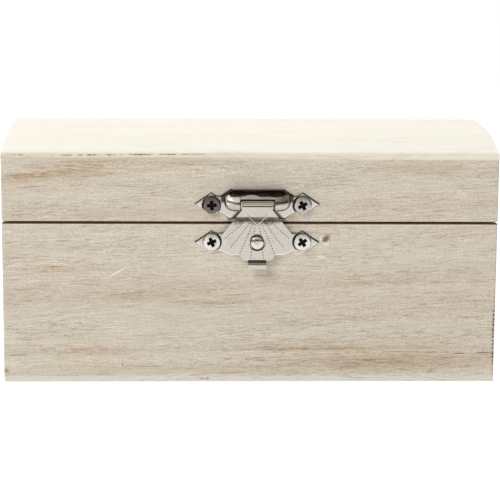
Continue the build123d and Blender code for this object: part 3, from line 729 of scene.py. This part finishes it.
FINISHES = [
    (base_front_wood, ["base_front_panel"]), (base_back_wood, ["base_back_panel"]),
    (lid_front_wood, ["lid_front_panel"]), (lid_back_wood, ["lid_back_panel"]),
    (base_end_wood, ["base_left_panel", "base_right_panel"]),
    (lid_end_wood, ["lid_left_panel", "lid_right_panel"]),
    (sheet_wood, ["lid_top_sheet"]), (bottom_wood, ["bottom_plate"]),
    (nickel, ["catch_plate", "hasp_plate", "hasp_pin"]),
    (flap_nickel, ["hasp_flap"]), (stud_nickel, ["catch_stud"]),
    (screw_steel, ["catch_screws", "hasp_screws", "hinge_lower_screws", "hinge_upper_screws"]),
    (hinge_steel, [side + part for side in ("left_hinge_", "right_hinge_")
                   for part in ("lower_leaf", "upper_leaf", "pin")]),
]
for finish, node_names in FINISHES:
    for node_name in node_names:
        node_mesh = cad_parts[node_name].data
        node_mesh.materials.clear()
        node_mesh.materials.append(finish)


# Pieces worked out as whole arrays, in millimetres

def new_object(name, data):
    """Object with the given data, linked to the scene."""
    made = bpy.data.objects.new(name, data)
    bpy.context.scene.collection.objects.link(made)
    return made


def ramp(value, start, end):
    """Straight ramp from 0 at start to 1 at end, held beyond both. End may lie below start."""
    return np.clip((value - start) / (end - start), 0, 1)


def mirrored(half):
    """Places from 0 outwards, with their mirror images before them."""
    return np.concatenate([-half[:0:-1], half])


def grid_faces(rows, columns):
    """Quads of a grid whose points are numbered row by row."""
    first = (np.arange(rows - 1)[:, None] * columns + np.arange(columns - 1)).reshape(-1)
    return np.stack([first, first + columns, first + columns + 1, first + 1], axis=1)


def closed_shell(front, back, faces):
    """Two sheets with the same faces, the back one turned round, joined along every open edge."""
    count = len(front)
    edges = np.stack([faces, np.roll(faces, -1, axis=1)], axis=2).reshape(-1, 2)
    keys = np.sort(edges, axis=1) @ np.array([count, 1])
    found, uses = np.unique(keys, return_counts=True)
    rim = edges[np.isin(keys, found[uses == 1])]
    sides = np.stack([rim[:, 1], rim[:, 0], rim[:, 0] + count, rim[:, 1] + count], axis=1)
    return np.concatenate([front, back]), np.concatenate([faces, faces[:, ::-1] + count, sides])


def joined(parts):
    """Several (points, faces) pairs as one."""
    all_points, all_faces = zip(*parts)
    starts = np.cumsum([0] + [len(points) for points in all_points[:-1]])
    shifted = [faces + start for faces, start in zip(all_faces, starts)]
    return np.concatenate(all_points), np.concatenate(shifted)


def set_piece(name, shape, finish, body, slot, stands_for, sharp=38.0, **tones):
    """Makes the mesh of a finished piece, gives it its finish and body, and hides the CAD nodes that it
    stands for.
    Each tone is an attribute with one value per point that the finish may read. Its slot is not used."""
    points, faces = shape
    mesh = bpy.data.meshes.new(name)
    mesh.from_pydata((points * MM).tolist(), [], faces.tolist())
    mesh.polygons.foreach_set("use_smooth", np.ones(len(faces), dtype=bool))
    mesh.set_sharp_from_angle(angle=math.radians(sharp))
    for tone, values in tones.items():
        mesh.attributes.new(tone, "FLOAT", "POINT").data.foreach_set("value", values.astype(np.float32))
    mesh.materials.append(finish)
    piece = new_object(name, mesh)
    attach(piece, body)
    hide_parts(*stands_for)


def on_front(x, proud, z):
    """Points in front of the boards: columns x from the hasp's middle, standing proud, at the heights z."""
    wide = np.broadcast_to(x[:, None], z.shape) + HASP_X
    return np.stack([wide, FRONT_Y - proud, z], axis=-1).reshape(-1, 3)


# Plates of the hasp: thickness, half width, the screws' distance from the middle, the rim that rolls over
# and the close lines of points along it
PLATE_THICKNESS = 0.5
HALF_SPAN = 15.8
SCREW_REACH = 11.4
ROLL_WIDTH, ROLL_DEPTH = 0.42, 0.42
RIM_STEPS = (0.0, 0.05, 0.11, 0.18, 0.27, 0.38, 0.5)
RIM_SHARE, CORE_LINES, STRETCH_COLUMNS = 0.42, 24, 18
# Dish round a screw: least radius and depth, what both gain where it leans, and the width of its flank
DISH_RADIUS, DISH_DEPTH, DISH_WIDENING, DISH_DEEPENING, DISH_FLANK = 2.32, 0.16, 0.22, 0.28, 0.2


def outline_height(x, shares):
    """Height share of a stamped edge at x: straight in the middle, then a line and two curves to the tip.
    Each curve is the parabola through its three points."""
    tip, flank, bump, dip, waist, middle = np.array(shares)
    along = np.abs(x) / HALF_SPAN
    line = np.interp(along, [middle[0], waist[0]], [middle[1], waist[1]])
    inner = np.polyval(np.polyfit(*np.array([waist, dip, bump]).T, 2), along)
    outer = np.polyval(np.polyfit(*np.array([bump, flank, tip]).T, 2), along)
    return np.where(along > bump[0], outer, np.where(along > waist[0], inner, line))


def column_rises(height):
    """Rise of each point over the lower edge, a row per column: close by both rims and even between."""
    rim = np.minimum(RIM_STEPS, height * np.linspace(0, RIM_SHARE, len(RIM_STEPS)))
    core = rim[:, -1:] + (height - 2 * rim[:, -1:]) * np.linspace(0, 1, CORE_LINES + 2)[1:-1]
    return np.concatenate([rim, core, height - rim[:, ::-1]], axis=1)


def screw_dish(x, z, screw_z, leans):
    """How deep the face sinks round each screw head, a smooth step of the distance to the screw, deeper and
    wider towards the angle in leans. Its dark tone, painted shade, is a ring in the deep half."""
    side = np.where(x < 0, -1, 1)[:, None]
    across = x[:, None] - side * SCREW_REACH
    from_screw = np.hypot(across, z - screw_z)
    lean = np.where(side < 0, *np.radians(leans))
    towards = 0.5 + 0.5 * np.cos(np.arctan2(z - screw_z, across) - lean)
    rim = DISH_RADIUS + DISH_WIDENING * towards
    sink = ramp(from_screw, rim, rim - DISH_FLANK)
    depth = (DISH_DEPTH + DISH_DEEPENING * towards) * sink ** 2 * (3 - 2 * sink)
    return depth, ramp(from_screw, 1.9, 2.05) * sink * ramp(towards, 0.45, 0.95)


def stamped_plate(top_shares, low_shares, middle_z, half_height, screw_z, leans):
    """Plate over the columns between its two edges. Its face rolls over towards the rim along a parabola and
    sinks round both screws. Two tones of its front points come back too: painted shade in the dishes and
    along the upper rim, more so towards the tips, and a painted highlight along the lower rim."""
    breaks = np.array([0.0] + [share[0] for share in top_shares[::-1]]) * HALF_SPAN
    stretches = [np.linspace(a, b, STRETCH_COLUMNS) for a, b in zip(breaks[:-1], breaks[1:])]
    x = mirrored(np.unique(np.concatenate(stretches)))
    low = middle_z + half_height * outline_height(x, low_shares)
    high = middle_z + half_height * outline_height(x, top_shares)
    high[[0, -1]] = low[[0, -1]] + 0.01
    height = (high - low)[:, None]
    rise = column_rises(height)
    z = low[:, None] + rise
    from_low = rise / np.hypot(1, np.gradient(low, x))[:, None]
    from_high = (height - rise) / np.hypot(1, np.gradient(high, x))[:, None]
    inward = ramp(np.minimum(from_low, from_high), ROLL_WIDTH, 0)
    proud = PLATE_THICKNESS - ROLL_DEPTH * inward ** 2
    depth, ring = screw_dish(x, z, screw_z, leans)
    proud = proud - depth * (proud / PLATE_THICKNESS)
    far = ramp(np.abs(x), 9.6, 12.6)[:, None]
    # Painted shade along the upper rim
    brim = np.clip(1.25 - from_high / (0.22 + 0.16 * far), 0, 1) * (0.55 + 0.45 * far)
    dark = np.maximum(0.95 * ring, brim)
    # Painted highlight along the lower rim
    shine = ramp(from_low, 0.6, 0.1) * (1 - dark)
    back = on_front(x, np.zeros_like(z), z)
    points, faces = closed_shell(on_front(x, proud, z), back, grid_faces(*z.shape))
    tones = np.stack([dark, shine]).reshape(2, -1)
    return points, faces, np.concatenate([tones, np.zeros_like(tones)], axis=1)


def waist_shade(points):
    """Painted shade on the plate beside and above the hood: a ramp up times a ramp in from the screws."""
    away = np.abs(points[:, 0] - HASP_X)
    return 0.85 * ramp(points[:, 2], PIN_Z - 0.7, PIN_Z + 0.1) * ramp(away, 9.7, 8.9)


# Half width of the flap's neck, and the height below which its edge flares, with the flare's slope
NECK_HALF, FLARE_Z, FLARE_SLOPE = 4.15, 43.94, 0.95


def flap_shade(points):
    """Painted shadow on the plate close beside the closed flap: a ramp outwards from the flap's flared edge.
    """
    edge = NECK_HALF + FLARE_SLOPE * np.clip(FLARE_Z - points[:, 2], 0, None)
    outside = np.abs(points[:, 0] - HASP_X) - edge
    return 0.8 * ramp(outside, 1.28, 0.48) * (outside > -0.9) * ramp(points[:, 2], 44.8, 44.4)


# Hood: half of its even width, each end's length, its wall and least size, the radius of its nose, how far
# the nose's axis and the shelf stand off the plate, the crown's height and the radius of its skirt. Then the
# window for the flap and how far the hood hangs, the lines of points in each part, and its unevenness
HOOD_EVEN, HOOD_END, HOOD_WALL, HOOD_LEAST = 5.0, 3.4, 0.45, 0.06
NOSE_RADIUS, NOSE_AXIS, SHELF_PROUD, CROWN_TOP, SKIRT_RADIUS = 1.9, 1.35, 1.3, 3.15, 0.3
WINDOW_HALF, WINDOW_RISE, DROOP = 4.15, 0.9, 0.35
SKIRT_LINES, NOSE_LINES, LIP_LINES, CROWN_LINES, SHELF_LINES, BROW_LINES = 6, 14, 5, 21, 3, 16
LIP_LINE = SKIRT_LINES + NOSE_LINES + LIP_LINES - 1
WAVE_RISE, SWELL_RISE, SWELL_X, SWELL_WIDTH, SWELL_START, SWELL_PEAK = 0.045, 0.15, -1.0, 2.3, 0.3, 0.8


def steps_to_one(count):
    """Even steps from above 0 up to 1."""
    return np.linspace(0, 1, count + 1)[1:]


def hood_wave(x, along):
    """Uneven pressing of the crown: two slow sines across it that lean with the height."""
    return np.sin(0.75 * x + 3.0 * along + 0.6) + 0.6 * np.sin(1.5 * x - 4.0 * along + 1.1)


def crown_unevenness(x, along, size):
    """What the crown's radius gains: slow waves, and a swell a little left of the middle that rises as a
    squared sine, falls as a squared cosine and fades sideways as a bell curve."""
    wave = WAVE_RISE * np.sin(math.pi * along) ** 2 * size * hood_wave(x, along)
    rising = np.sin(math.pi / 2 * ramp(along, SWELL_START, SWELL_PEAK)) ** 2
    falling = np.cos(math.pi / 2 * (along - SWELL_PEAK) / (1 - SWELL_PEAK)) ** 2
    swell = np.where(along < SWELL_PEAK, rising, falling)
    return wave + SWELL_RISE * swell * size * np.exp(-((x - SWELL_X) / SWELL_WIDTH) ** 2)


def hood_section(x, wall):
    """How far the hood of the upper plate stands proud, and its height over the pin, one section per x: a
    small hollow curve up from the plate, a flat underside, a round nose below the pin, a larger crown above
    it and a shelf. Over each end the section shrinks as the root of 1 - a^3, a being the share of the end."""
    away = ramp(np.abs(x), HOOD_EVEN, HOOD_EVEN + HOOD_END)
    size = np.maximum(np.sqrt(1 - away ** 3), HOOD_LEAST)[:, None]
    nose = (NOSE_RADIUS - wall) * size
    centre = PLATE_THICKNESS + NOSE_AXIS * size ** 0.6
    front = centre + nose
    top_proud = PLATE_THICKNESS + SHELF_PROUD * size
    droop = DROOP * size
    top = (CROWN_TOP - 2 * wall) * size + droop
    crown_proud = (front ** 2 - top_proud ** 2 - top ** 2) / (2 * (front - top_proud))
    crown = front - crown_proud
    hollow = SKIRT_RADIUS * size + 0.02
    skirt_turn = np.radians(np.linspace(180, 90, SKIRT_LINES))
    skirt_p = PLATE_THICKNESS - 0.05 + hollow * (1 + np.cos(skirt_turn))
    skirt_h = -droop - nose - hollow + hollow * np.sin(skirt_turn)
    low_turn = np.radians(np.linspace(-90, 0, NOSE_LINES))
    low_p = centre + nose * np.cos(low_turn)
    low_h = nose * np.sin(low_turn) - droop
    lip_turn = np.arcsin(np.minimum((WINDOW_RISE + droop) / crown, 0.5))
    last_turn = np.arctan2(top, top_proud - crown_proud)
    crown_turn = np.concatenate([lip_turn * steps_to_one(LIP_LINES),
                                 lip_turn + (last_turn - lip_turn) * steps_to_one(CROWN_LINES)], axis=1)
    uneven = crown_unevenness(x[:, None], crown_turn / last_turn, size)
    crown_p = crown_proud + (crown + uneven) * np.cos(crown_turn)
    crown_h = (crown + uneven) * np.sin(crown_turn) - droop
    shelf_p = top_proud + (PLATE_THICKNESS - 0.1 - top_proud) * steps_to_one(SHELF_LINES)
    shelf_h = (top - droop) * np.ones_like(shelf_p)
    proud = np.concatenate([skirt_p, low_p, crown_p, shelf_p], axis=1)
    return proud, np.concatenate([skirt_h, low_h, crown_h, shelf_h], axis=1)


# Ramps of the hood's tones of painted shade, painted reflection and painted highlight, each from 0 to 1:
# across from its middle, or up from the pin, in millimetres, but WALL_OUT in shares of the hood's end
WALL_UP, WALL_OUT = (-0.9, -0.3), (0.3, 0.7)
# Painted dark reflection on the right knuckle above and the left one below
REFLECTION_RIGHT, REFLECTION_UP = (4.2, 4.7), (-0.4, 0.1)
REFLECTION_LEFT, REFLECTION_DOWN = (-4.2, -4.7), (-0.3, -0.8)
CHEEK_OUT, LINE_OUT, LINE_FADE, LINE_HEIGHT = (4.54, 4.24), (8.8, 4.8), (0.35, 0.1), -0.3
# Painted highlight on the left knuckle's face
BRIGHT_LEFT, BRIGHT_UP = (-4.4, -4.7), (-0.5, -0.1)


def hood_tones(x, proud, height):
    """Dark and bright tone of the hood's points, both painted light. Painted shade darkens its foot, a thin
    line at the window's edge and the edges beside the window; painted dark reflection darkens the brow over
    the crown, a line along the knuckles and, less so, the right knuckle above and the left one below. A
    painted highlight brightens the left knuckle's face."""
    wide = np.broadcast_to(x[:, None], proud.shape)
    reach = np.abs(wide)
    on_knuckle = reach > WINDOW_HALF - 0.05
    away = ramp(reach, HOOD_EVEN, HOOD_EVEN + HOOD_END)
    side_wall = ramp(height, *WALL_UP) * ramp(away, *WALL_OUT)
    foot = 1 - ramp(proud, PLATE_THICKNESS, PLATE_THICKNESS + 0.9 + 1.2 * side_wall)
    painted_reflection = 0.5 * ramp(wide, *REFLECTION_RIGHT) * ramp(height, *REFLECTION_UP)
    painted_reflection = painted_reflection + 0.22 * ramp(wide, *REFLECTION_LEFT) * ramp(height, *REFLECTION_DOWN)
    from_lip = np.abs(height - height[:, LIP_LINE:LIP_LINE + 1])
    lip = ramp(from_lip, 0.16, 0) * (reach < WINDOW_HALF + 0.05)
    brow_start = proud.shape[1] - BROW_LINES
    brow = ramp(np.arange(proud.shape[1]), brow_start, brow_start + 3) * np.ones_like(proud)
    cheek = ramp(reach, *CHEEK_OUT) * on_knuckle * (height < WINDOW_RISE)
    line = ramp(np.abs(height - LINE_HEIGHT), *LINE_FADE) * ramp(reach, *LINE_OUT) * on_knuckle
    dark = np.max([foot, lip, brow, painted_reflection, cheek, 0.85 * line], axis=0)
    left_knuckle = ramp(wide, *BRIGHT_LEFT) * ramp(height, *BRIGHT_UP)
    return np.stack([dark, left_knuckle * (1 - foot)]).reshape(2, -1)


def pressed_hood():
    """The hood with its wall thickness and the window for the flap left out of it."""
    half = np.concatenate([np.linspace(0, WINDOW_HALF, 22), np.linspace(WINDOW_HALF, HOOD_EVEN, 5)[1:],
                           HOOD_EVEN + HOOD_END * (1 - (1 - steps_to_one(25)) ** 2)])
    x = mirrored(half)
    proud, height = hood_section(x, 0.0)
    inner_proud, inner_height = hood_section(x, HOOD_WALL)
    rows, columns = height.shape
    faces = grid_faces(rows, columns)
    row, column = np.divmod(faces[:, 0], columns)
    in_window = (np.abs(x[row] + x[row + 1]) / 2 < WINDOW_HALF) & (column < LIP_LINE)
    points, faces = closed_shell(on_front(x, proud, PIN_Z + height),
                                 on_front(x, inner_proud, PIN_Z + inner_height), faces[~in_window])
    tones = hood_tones(x, proud, height)
    # Painted shade: the hood's inner wall is fully dark
    inside = np.array([[1.0], [0.0]]) * np.ones_like(tones)
    return points, faces, np.concatenate([tones, inside], axis=1)


# Stamped edges as (share of the half span, share of the half height): tip, flank, bump, dip, waist, middle
UPPER_TOP = ((1.0, 0.02), (0.86, 0.42), (0.725, 0.8), (0.65, 0.6), (0.565, 0.62), (0.43, 1.0))
UPPER_LOW = ((1.0, 0.02), (0.86, -0.36), (0.725, -0.74), (0.65, -0.6), (0.565, -0.66), (0.43, -1.0))
CATCH_TOP = ((1.0, 0.0), (0.86, 0.4), (0.725, 0.83), (0.64, 0.66), (0.56, 0.7), (0.45, 0.75))
CATCH_LOW = ((1.0, 0.0), (0.86, -0.44), (0.725, -0.83), (0.64, -0.68), (0.57, -0.7), (0.44, -1.0))


# Bent top sheet: the box round it, the rise of its arch, its thickness, the rounds of its long edges and
# ends, the lines of points in each part of its section, and how far its even columns reach
BOX_HALF_WIDTH, BOX_HALF_DEPTH, BOX_TOP = 62.5, -FRONT_Y, 64.1
ARCH_RISE, SHEET_THICKNESS, SHEET_EDGE, SHEET_END = 5.6, 1.6, 1.3, 0.2
SIDE_LINES, CORNER_LINES, ARCH_LINES, EVEN_REACH = 4, 8, 121, 60.0


def arched_sheet():
    """Bent top sheet: a section of outer and inner line, from the front edge over the arch to the back,
    carried along X, with its outer line drawn in by a quarter round at both ends. The arch is a circle
    through its rise and the box's depth, and a smaller circle inside it rounds each long edge."""
    radius = (BOX_HALF_DEPTH ** 2 + ARCH_RISE ** 2) / (2 * ARCH_RISE)
    middle_z = BOX_TOP - radius
    round_y = BOX_HALF_DEPTH - SHEET_EDGE
    round_z = middle_z + math.sqrt((radius - SHEET_EDGE) ** 2 - round_y ** 2)
    start = math.atan2(round_y, round_z - middle_z)
    arch = np.linspace(-start, start, ARCH_LINES)
    corner = np.linspace(-math.pi / 2, -start, CORNER_LINES, endpoint=False)
    low_z = middle_z + math.sqrt((radius - SHEET_THICKNESS) ** 2 - BOX_HALF_DEPTH ** 2)
    side_z = np.linspace(low_z, round_z, SIDE_LINES, endpoint=False)
    side = np.stack([np.full(SIDE_LINES, -BOX_HALF_DEPTH), side_z], axis=1)
    bend = np.stack([-round_y + SHEET_EDGE * np.sin(corner), round_z + SHEET_EDGE * np.cos(corner)], axis=1)
    over = np.stack([radius * np.sin(arch), middle_z + radius * np.cos(arch)], axis=1)
    front_half = np.concatenate([side, bend])
    outer = np.concatenate([front_half, over, front_half[::-1] * [-1, 1]])
    lean = np.concatenate([np.full(SIDE_LINES, -math.pi / 2), corner])
    lean = np.concatenate([lean, arch, -lean[::-1]])
    inner_radius = radius - SHEET_THICKNESS
    reach = math.asin(BOX_HALF_DEPTH / inner_radius)
    inner_turn = np.interp(np.linspace(0, 1, len(outer)), [0, 1], [-reach, reach]) * 0.9995
    inner = np.stack([np.sin(inner_turn), np.cos(inner_turn)], axis=1) * inner_radius + [0, middle_z]
    round_x = BOX_HALF_WIDTH - SHEET_END * (1 - np.sin(np.radians(np.linspace(90, 0, 6))))
    x = np.concatenate([-round_x, np.linspace(-EVEN_REACH, EVEN_REACH, 40), round_x[::-1]])
    into_round = np.clip(np.abs(x) - (BOX_HALF_WIDTH - SHEET_END), 0, SHEET_END)
    drawn = SHEET_END - np.sqrt(SHEET_END ** 2 - into_round ** 2)
    inward = np.stack([-np.sin(lean), -np.cos(lean)], axis=1)
    sheet = outer[None] + drawn[:, None, None] * inward[None]
    wide = np.broadcast_to(x[:, None, None], (len(x), len(outer), 1))
    front = np.concatenate([wide, sheet], axis=2).reshape(-1, 3)
    back = np.concatenate([wide, np.broadcast_to(inner, sheet.shape)], axis=2).reshape(-1, 3)
    return closed_shell(front, back, grid_faces(len(x), len(outer)))


# Screw heads: shares of the recess for its arms' half width, flank and end slope, share of the height for
# its depth, then points round the axis, the head's edge and how deep its wall goes in
ARM_HALF, ARM_FLANK, ARM_END, RECESS_DEPTH = 0.35, 0.09, 0.3, 0.8
HEAD_LINES, HEAD_EDGE, HEAD_SUNK = 120, 0.22, 0.4


def screw_head(x, z, seat, radius, height, rim, recess, turn, facing):
    """Head in rings round its axis: a flat dome that falls with the square of the distance, with a quarter
    round at its edge. Its cross recess has arms that sink between steep flanks: depth is how far a point is
    inside an arm's flank times how far it is from the arm's end."""
    inner_reach = recess * 1.1
    ring = np.concatenate([np.linspace(0, inner_reach, 30), np.linspace(inner_reach, radius, 12)[1:]])
    around = np.linspace(0, 2 * math.pi, HEAD_LINES, endpoint=False)
    a = ring[:, None] * np.cos(around - math.radians(turn))
    b = ring[:, None] * np.sin(around - math.radians(turn))
    across, along = np.minimum(np.abs(a), np.abs(b)), np.maximum(np.abs(a), np.abs(b))
    flank = ramp(across, recess * ARM_HALF, recess * (ARM_HALF - ARM_FLANK))
    depth = flank * ramp(along, recess, recess * (1 - ARM_END))
    soft = ramp(ring, radius - HEAD_EDGE, radius)
    edge = HEAD_EDGE * (1 - np.sqrt(1 - soft ** 2))
    level = seat + rim + (height - rim) * (1 - (ring / radius) ** 2) - edge
    top = level[:, None] - depth * height * RECESS_DEPTH
    wall = np.full((1, HEAD_LINES), seat - HEAD_SUNK)
    up = np.concatenate([top, wall, wall])
    wide = np.concatenate([ring, [radius], [0.0]])[:, None]
    points = np.stack([x + wide * np.cos(around) * facing, facing_y(facing) - facing * up,
                       z + wide * np.sin(around)], axis=-1)
    first = np.arange(len(wide) - 1)[:, None] * HEAD_LINES
    here = first + np.arange(HEAD_LINES)
    beside = first + np.roll(np.arange(HEAD_LINES), -1)
    quads = np.stack([here, here + HEAD_LINES, beside + HEAD_LINES, beside], axis=-1)
    recessed = np.concatenate([depth, 0 * wall, 0 * wall]).reshape(-1)
    return points.reshape(-1, 3), quads.reshape(-1, 4), recessed


def facing_y(facing):
    """Face of the box that a screw sits on: the front for 1, the back for -1."""
    return FRONT_Y if facing > 0 else -FRONT_Y


def set_screws(name, heads, tarnish, body, stands_for):
    """One piece for all the heads of a CAD node, each with its own tarnish."""
    recessed = np.concatenate([head[2] for head in heads])
    shade = np.concatenate([np.full(len(head[0]), tone) for head, tone in zip(heads, tarnish)])
    set_piece(name, joined([head[:2] for head in heads]), screw_steel, body, "screw steel", [stands_for],
              recess=recessed, tarnish=shade)


# Heads on the front and on the back, in millimetres, and the places of the hinges' screws
HASP_HEAD = {"seat": PLATE_THICKNESS, "radius": 2.12, "height": 0.78, "rim": 0.7, "recess": 1.24, "facing": 1}
HINGE_HEAD = {"seat": 0.6, "radius": 1.5, "height": 0.66, "rim": 0.5, "recess": 0.85, "facing": -1}
HINGE_REACH, HINGE_SCREW_STEP = 38.0, 4.6
HINGE_SCREW_TURNS = (12.0, 51.0, 33.0, 70.0)
UPPER_HINGE_SCREW_Z, LOWER_HINGE_SCREW_Z = 46.4, 35.6


def hasp_screw_pair(z, turns):
    return [screw_head(HASP_X + side * SCREW_REACH, z, turn=turn, **HASP_HEAD)
            for side, turn in zip((-1, 1), turns)]


def hinge_screw_row(z):
    places = [side * HINGE_REACH + step * HINGE_SCREW_STEP for side in (-1, 1) for step in (-1, 1)]
    return [screw_head(x, z, turn=turn, **HINGE_HEAD) for x, turn in zip(places, HINGE_SCREW_TURNS)]


# The finished pieces in their places

upper_points, upper_faces, upper_tones = stamped_plate(
    UPPER_TOP, UPPER_LOW, middle_z=45.7, half_height=3.75, screw_z=LID_SCREW_Z, leans=(200.0, 170.0))
hood_points, hood_faces, hood_painted_light = pressed_hood()
hasp_shape = joined([(upper_points, upper_faces), (hood_points, hood_faces)])
# Painted shade beside the hood and painted shadow beside the flap, on top of the plate's own
upper_tones[0] = np.max([upper_tones[0], waist_shade(upper_points), flap_shade(upper_points)], axis=0)
dark, shine = np.concatenate([upper_tones, hood_painted_light], axis=1)
set_piece("nickel_hasp_plate", hasp_shape, nickel, "lid", "nickel plate", ["hasp_plate"],
          crease=dark, shine=shine)
catch_points, catch_faces, (dark, shine) = stamped_plate(
    CATCH_TOP, CATCH_LOW, middle_z=STUD_Z, half_height=3.6, screw_z=STUD_Z, leans=(20.0, 160.0))
set_piece("nickel_catch_plate", (catch_points, catch_faces), nickel, "base", "nickel plate", ["catch_plate"],
          crease=dark, shine=shine)
set_piece("arched_top_sheet", arched_sheet(), sheet_wood, "lid", "bent top sheet", ["lid_top_sheet"])
set_screws("hasp_screw_heads", hasp_screw_pair(LID_SCREW_Z, (4.0, 28.0)), (1.0, 0.4), "lid", "hasp_screws")
set_screws("catch_screw_heads", hasp_screw_pair(STUD_Z, (22.0, 34.0)), (0.0, 0.05), "base", "catch_screws")
set_screws("upper_hinge_screw_heads", hinge_screw_row(UPPER_HINGE_SCREW_Z), (0.1, 0.3, 0.0, 0.2), "lid",
           "hinge_upper_screws")
set_screws("lower_hinge_screw_heads", hinge_screw_row(LOWER_HINGE_SCREW_Z), (0.0, 0.2, 0.3, 0.1), "base",
           "hinge_lower_screws")


# Floor, light and camera

# Half width of the floor in metres, its colour and how brightly it glows
FLOOR_REACH = 3.0
FLOOR_GREY, FLOOR_GLOW = (0.25, 0.25, 0.25, 1.0), 0.9


def white_floor():
    """Flat square floor at height 0, a grid of two by two faces, white and softly lit from within."""
    reach = np.linspace(-FLOOR_REACH, FLOOR_REACH, 3)
    x, y = np.meshgrid(reach, reach, indexing="ij")
    points = np.stack([x, y, np.zeros_like(x)], axis=-1).reshape(-1, 3)
    mesh = bpy.data.meshes.new("floor")
    mesh.from_pydata(points.tolist(), [], grid_faces(*x.shape).tolist())
    floor = new_object("floor", mesh)
    material, shader = new_material("pale floor")
    feed(shader, {"Base Color": FLOOR_GREY, "Roughness": 0.6, "Emission Color": (1.0, 1.0, 1.0, 1.0),
                  "Emission Strength": FLOOR_GLOW})
    mesh.materials.append(material)


def soft_box(name, place, aim, width, height, power, in_mirrors=False):
    """Rectangular studio light at a place in metres, turned towards a point. Metal shows it if in_mirrors."""
    light = bpy.data.lights.new(name, "AREA")
    light.shape = "RECTANGLE"
    light.size, light.size_y = width, height
    light.energy = power
    lamp = new_object(name, light)
    lamp.location = place
    lamp.rotation_euler = (Vector(aim) - Vector(place)).to_track_quat("-Z", "Y").to_euler()
    lamp.visible_glossy = in_mirrors


# Tones of the room in reflections, from the horizon up to straight overhead
ROOM_TONES = [
    (0.0, paint(28, 22, 16)), (0.05, paint(96, 84, 70)), (0.2, paint(150, 138, 122)),
    (0.32, paint(236, 234, 230)), (0.7, paint(212, 209, 204)), (0.78, paint(46, 40, 34)),
    (0.87, paint(42, 37, 32)), (0.92, paint(104, 96, 86)), (0.98, paint(124, 117, 108)),
]


def studio_sky():
    """Surroundings: an even dim white light, plain white behind the object, and for reflections a brown
    room round the horizon, a pale wall above it and a dark ceiling, lighter on the left than on the right."""
    world = bpy.data.worlds.new("studio")
    bpy.context.scene.world = world
    world.use_nodes = True
    tree = world.node_tree
    sky = tree.nodes["Background"]
    direction = split(add(tree, "ShaderNodeTexCoord").outputs["Generated"])
    side, height = direction["X"], direction["Z"]
    light = between(height, 0.45, 0.85, 0.4, 0.04)
    seen = add(tree, "ShaderNodeLightPath").outputs
    light = reckon("MAXIMUM", light, seen["Is Camera Ray"])
    room = add(tree, "ShaderNodeValToRGB", {0: height})
    room.color_ramp.elements[0].position, room.color_ramp.elements[0].color = ROOM_TONES[0]
    room.color_ramp.elements[1].position, room.color_ramp.elements[1].color = ROOM_TONES[-1]
    for position, colour in ROOM_TONES[1:-1]:
        room.color_ramp.elements.new(position).color = colour
    lit_side = between(side, -0.5, 0.5, 1.35, 0.55)
    light = blend(seen["Is Glossy Ray"], light, scaled(room.outputs[0], lit_side))
    feed(sky, {"Color": light})


# Camera, in metres and degrees, as fitted to the photo's view of the box
CAMERA_PLACE = (-0.01222, -0.43622, 0.09624)
CAMERA_YAW, CAMERA_PITCH, CAMERA_ROLL = -1.734, -8.871, -0.347
CAMERA_LENS, CAMERA_SENSOR = 115.2, 36.0


def photo_camera():
    """Camera where the photograph was taken from, level but for small tilts."""
    data = bpy.data.cameras.new("camera")
    data.lens, data.sensor_width = CAMERA_LENS, CAMERA_SENSOR
    data.clip_start, data.clip_end = 0.01, 20.0
    camera = new_object("camera", data)
    turn = Matrix.Rotation(math.radians(CAMERA_YAW), 4, "Z")
    turn = turn @ Matrix.Rotation(math.radians(90.0 + CAMERA_PITCH), 4, "X")
    turn = turn @ Matrix.Rotation(math.radians(-CAMERA_ROLL), 4, "Z")
    camera.matrix_world = Matrix.Translation(CAMERA_PLACE) @ turn
    bpy.context.scene.camera = camera


white_floor()
soft_box("key light", (-0.55, -0.7, 0.75), (0.0, 0.0, 0.03), 0.45, 0.45, 5.5)
soft_box("top light", (0.1, 0.55, 0.9), (0.0, 0.0, 0.05), 0.9, 0.6, 9.0)
soft_box("glint", (-0.42, -0.62, 0.42), (0.0, 0.0, 0.04), 0.16, 0.16, 0.22, True)
studio_sky()
photo_camera()
bpy.context.scene.view_settings.view_transform = "Standard"
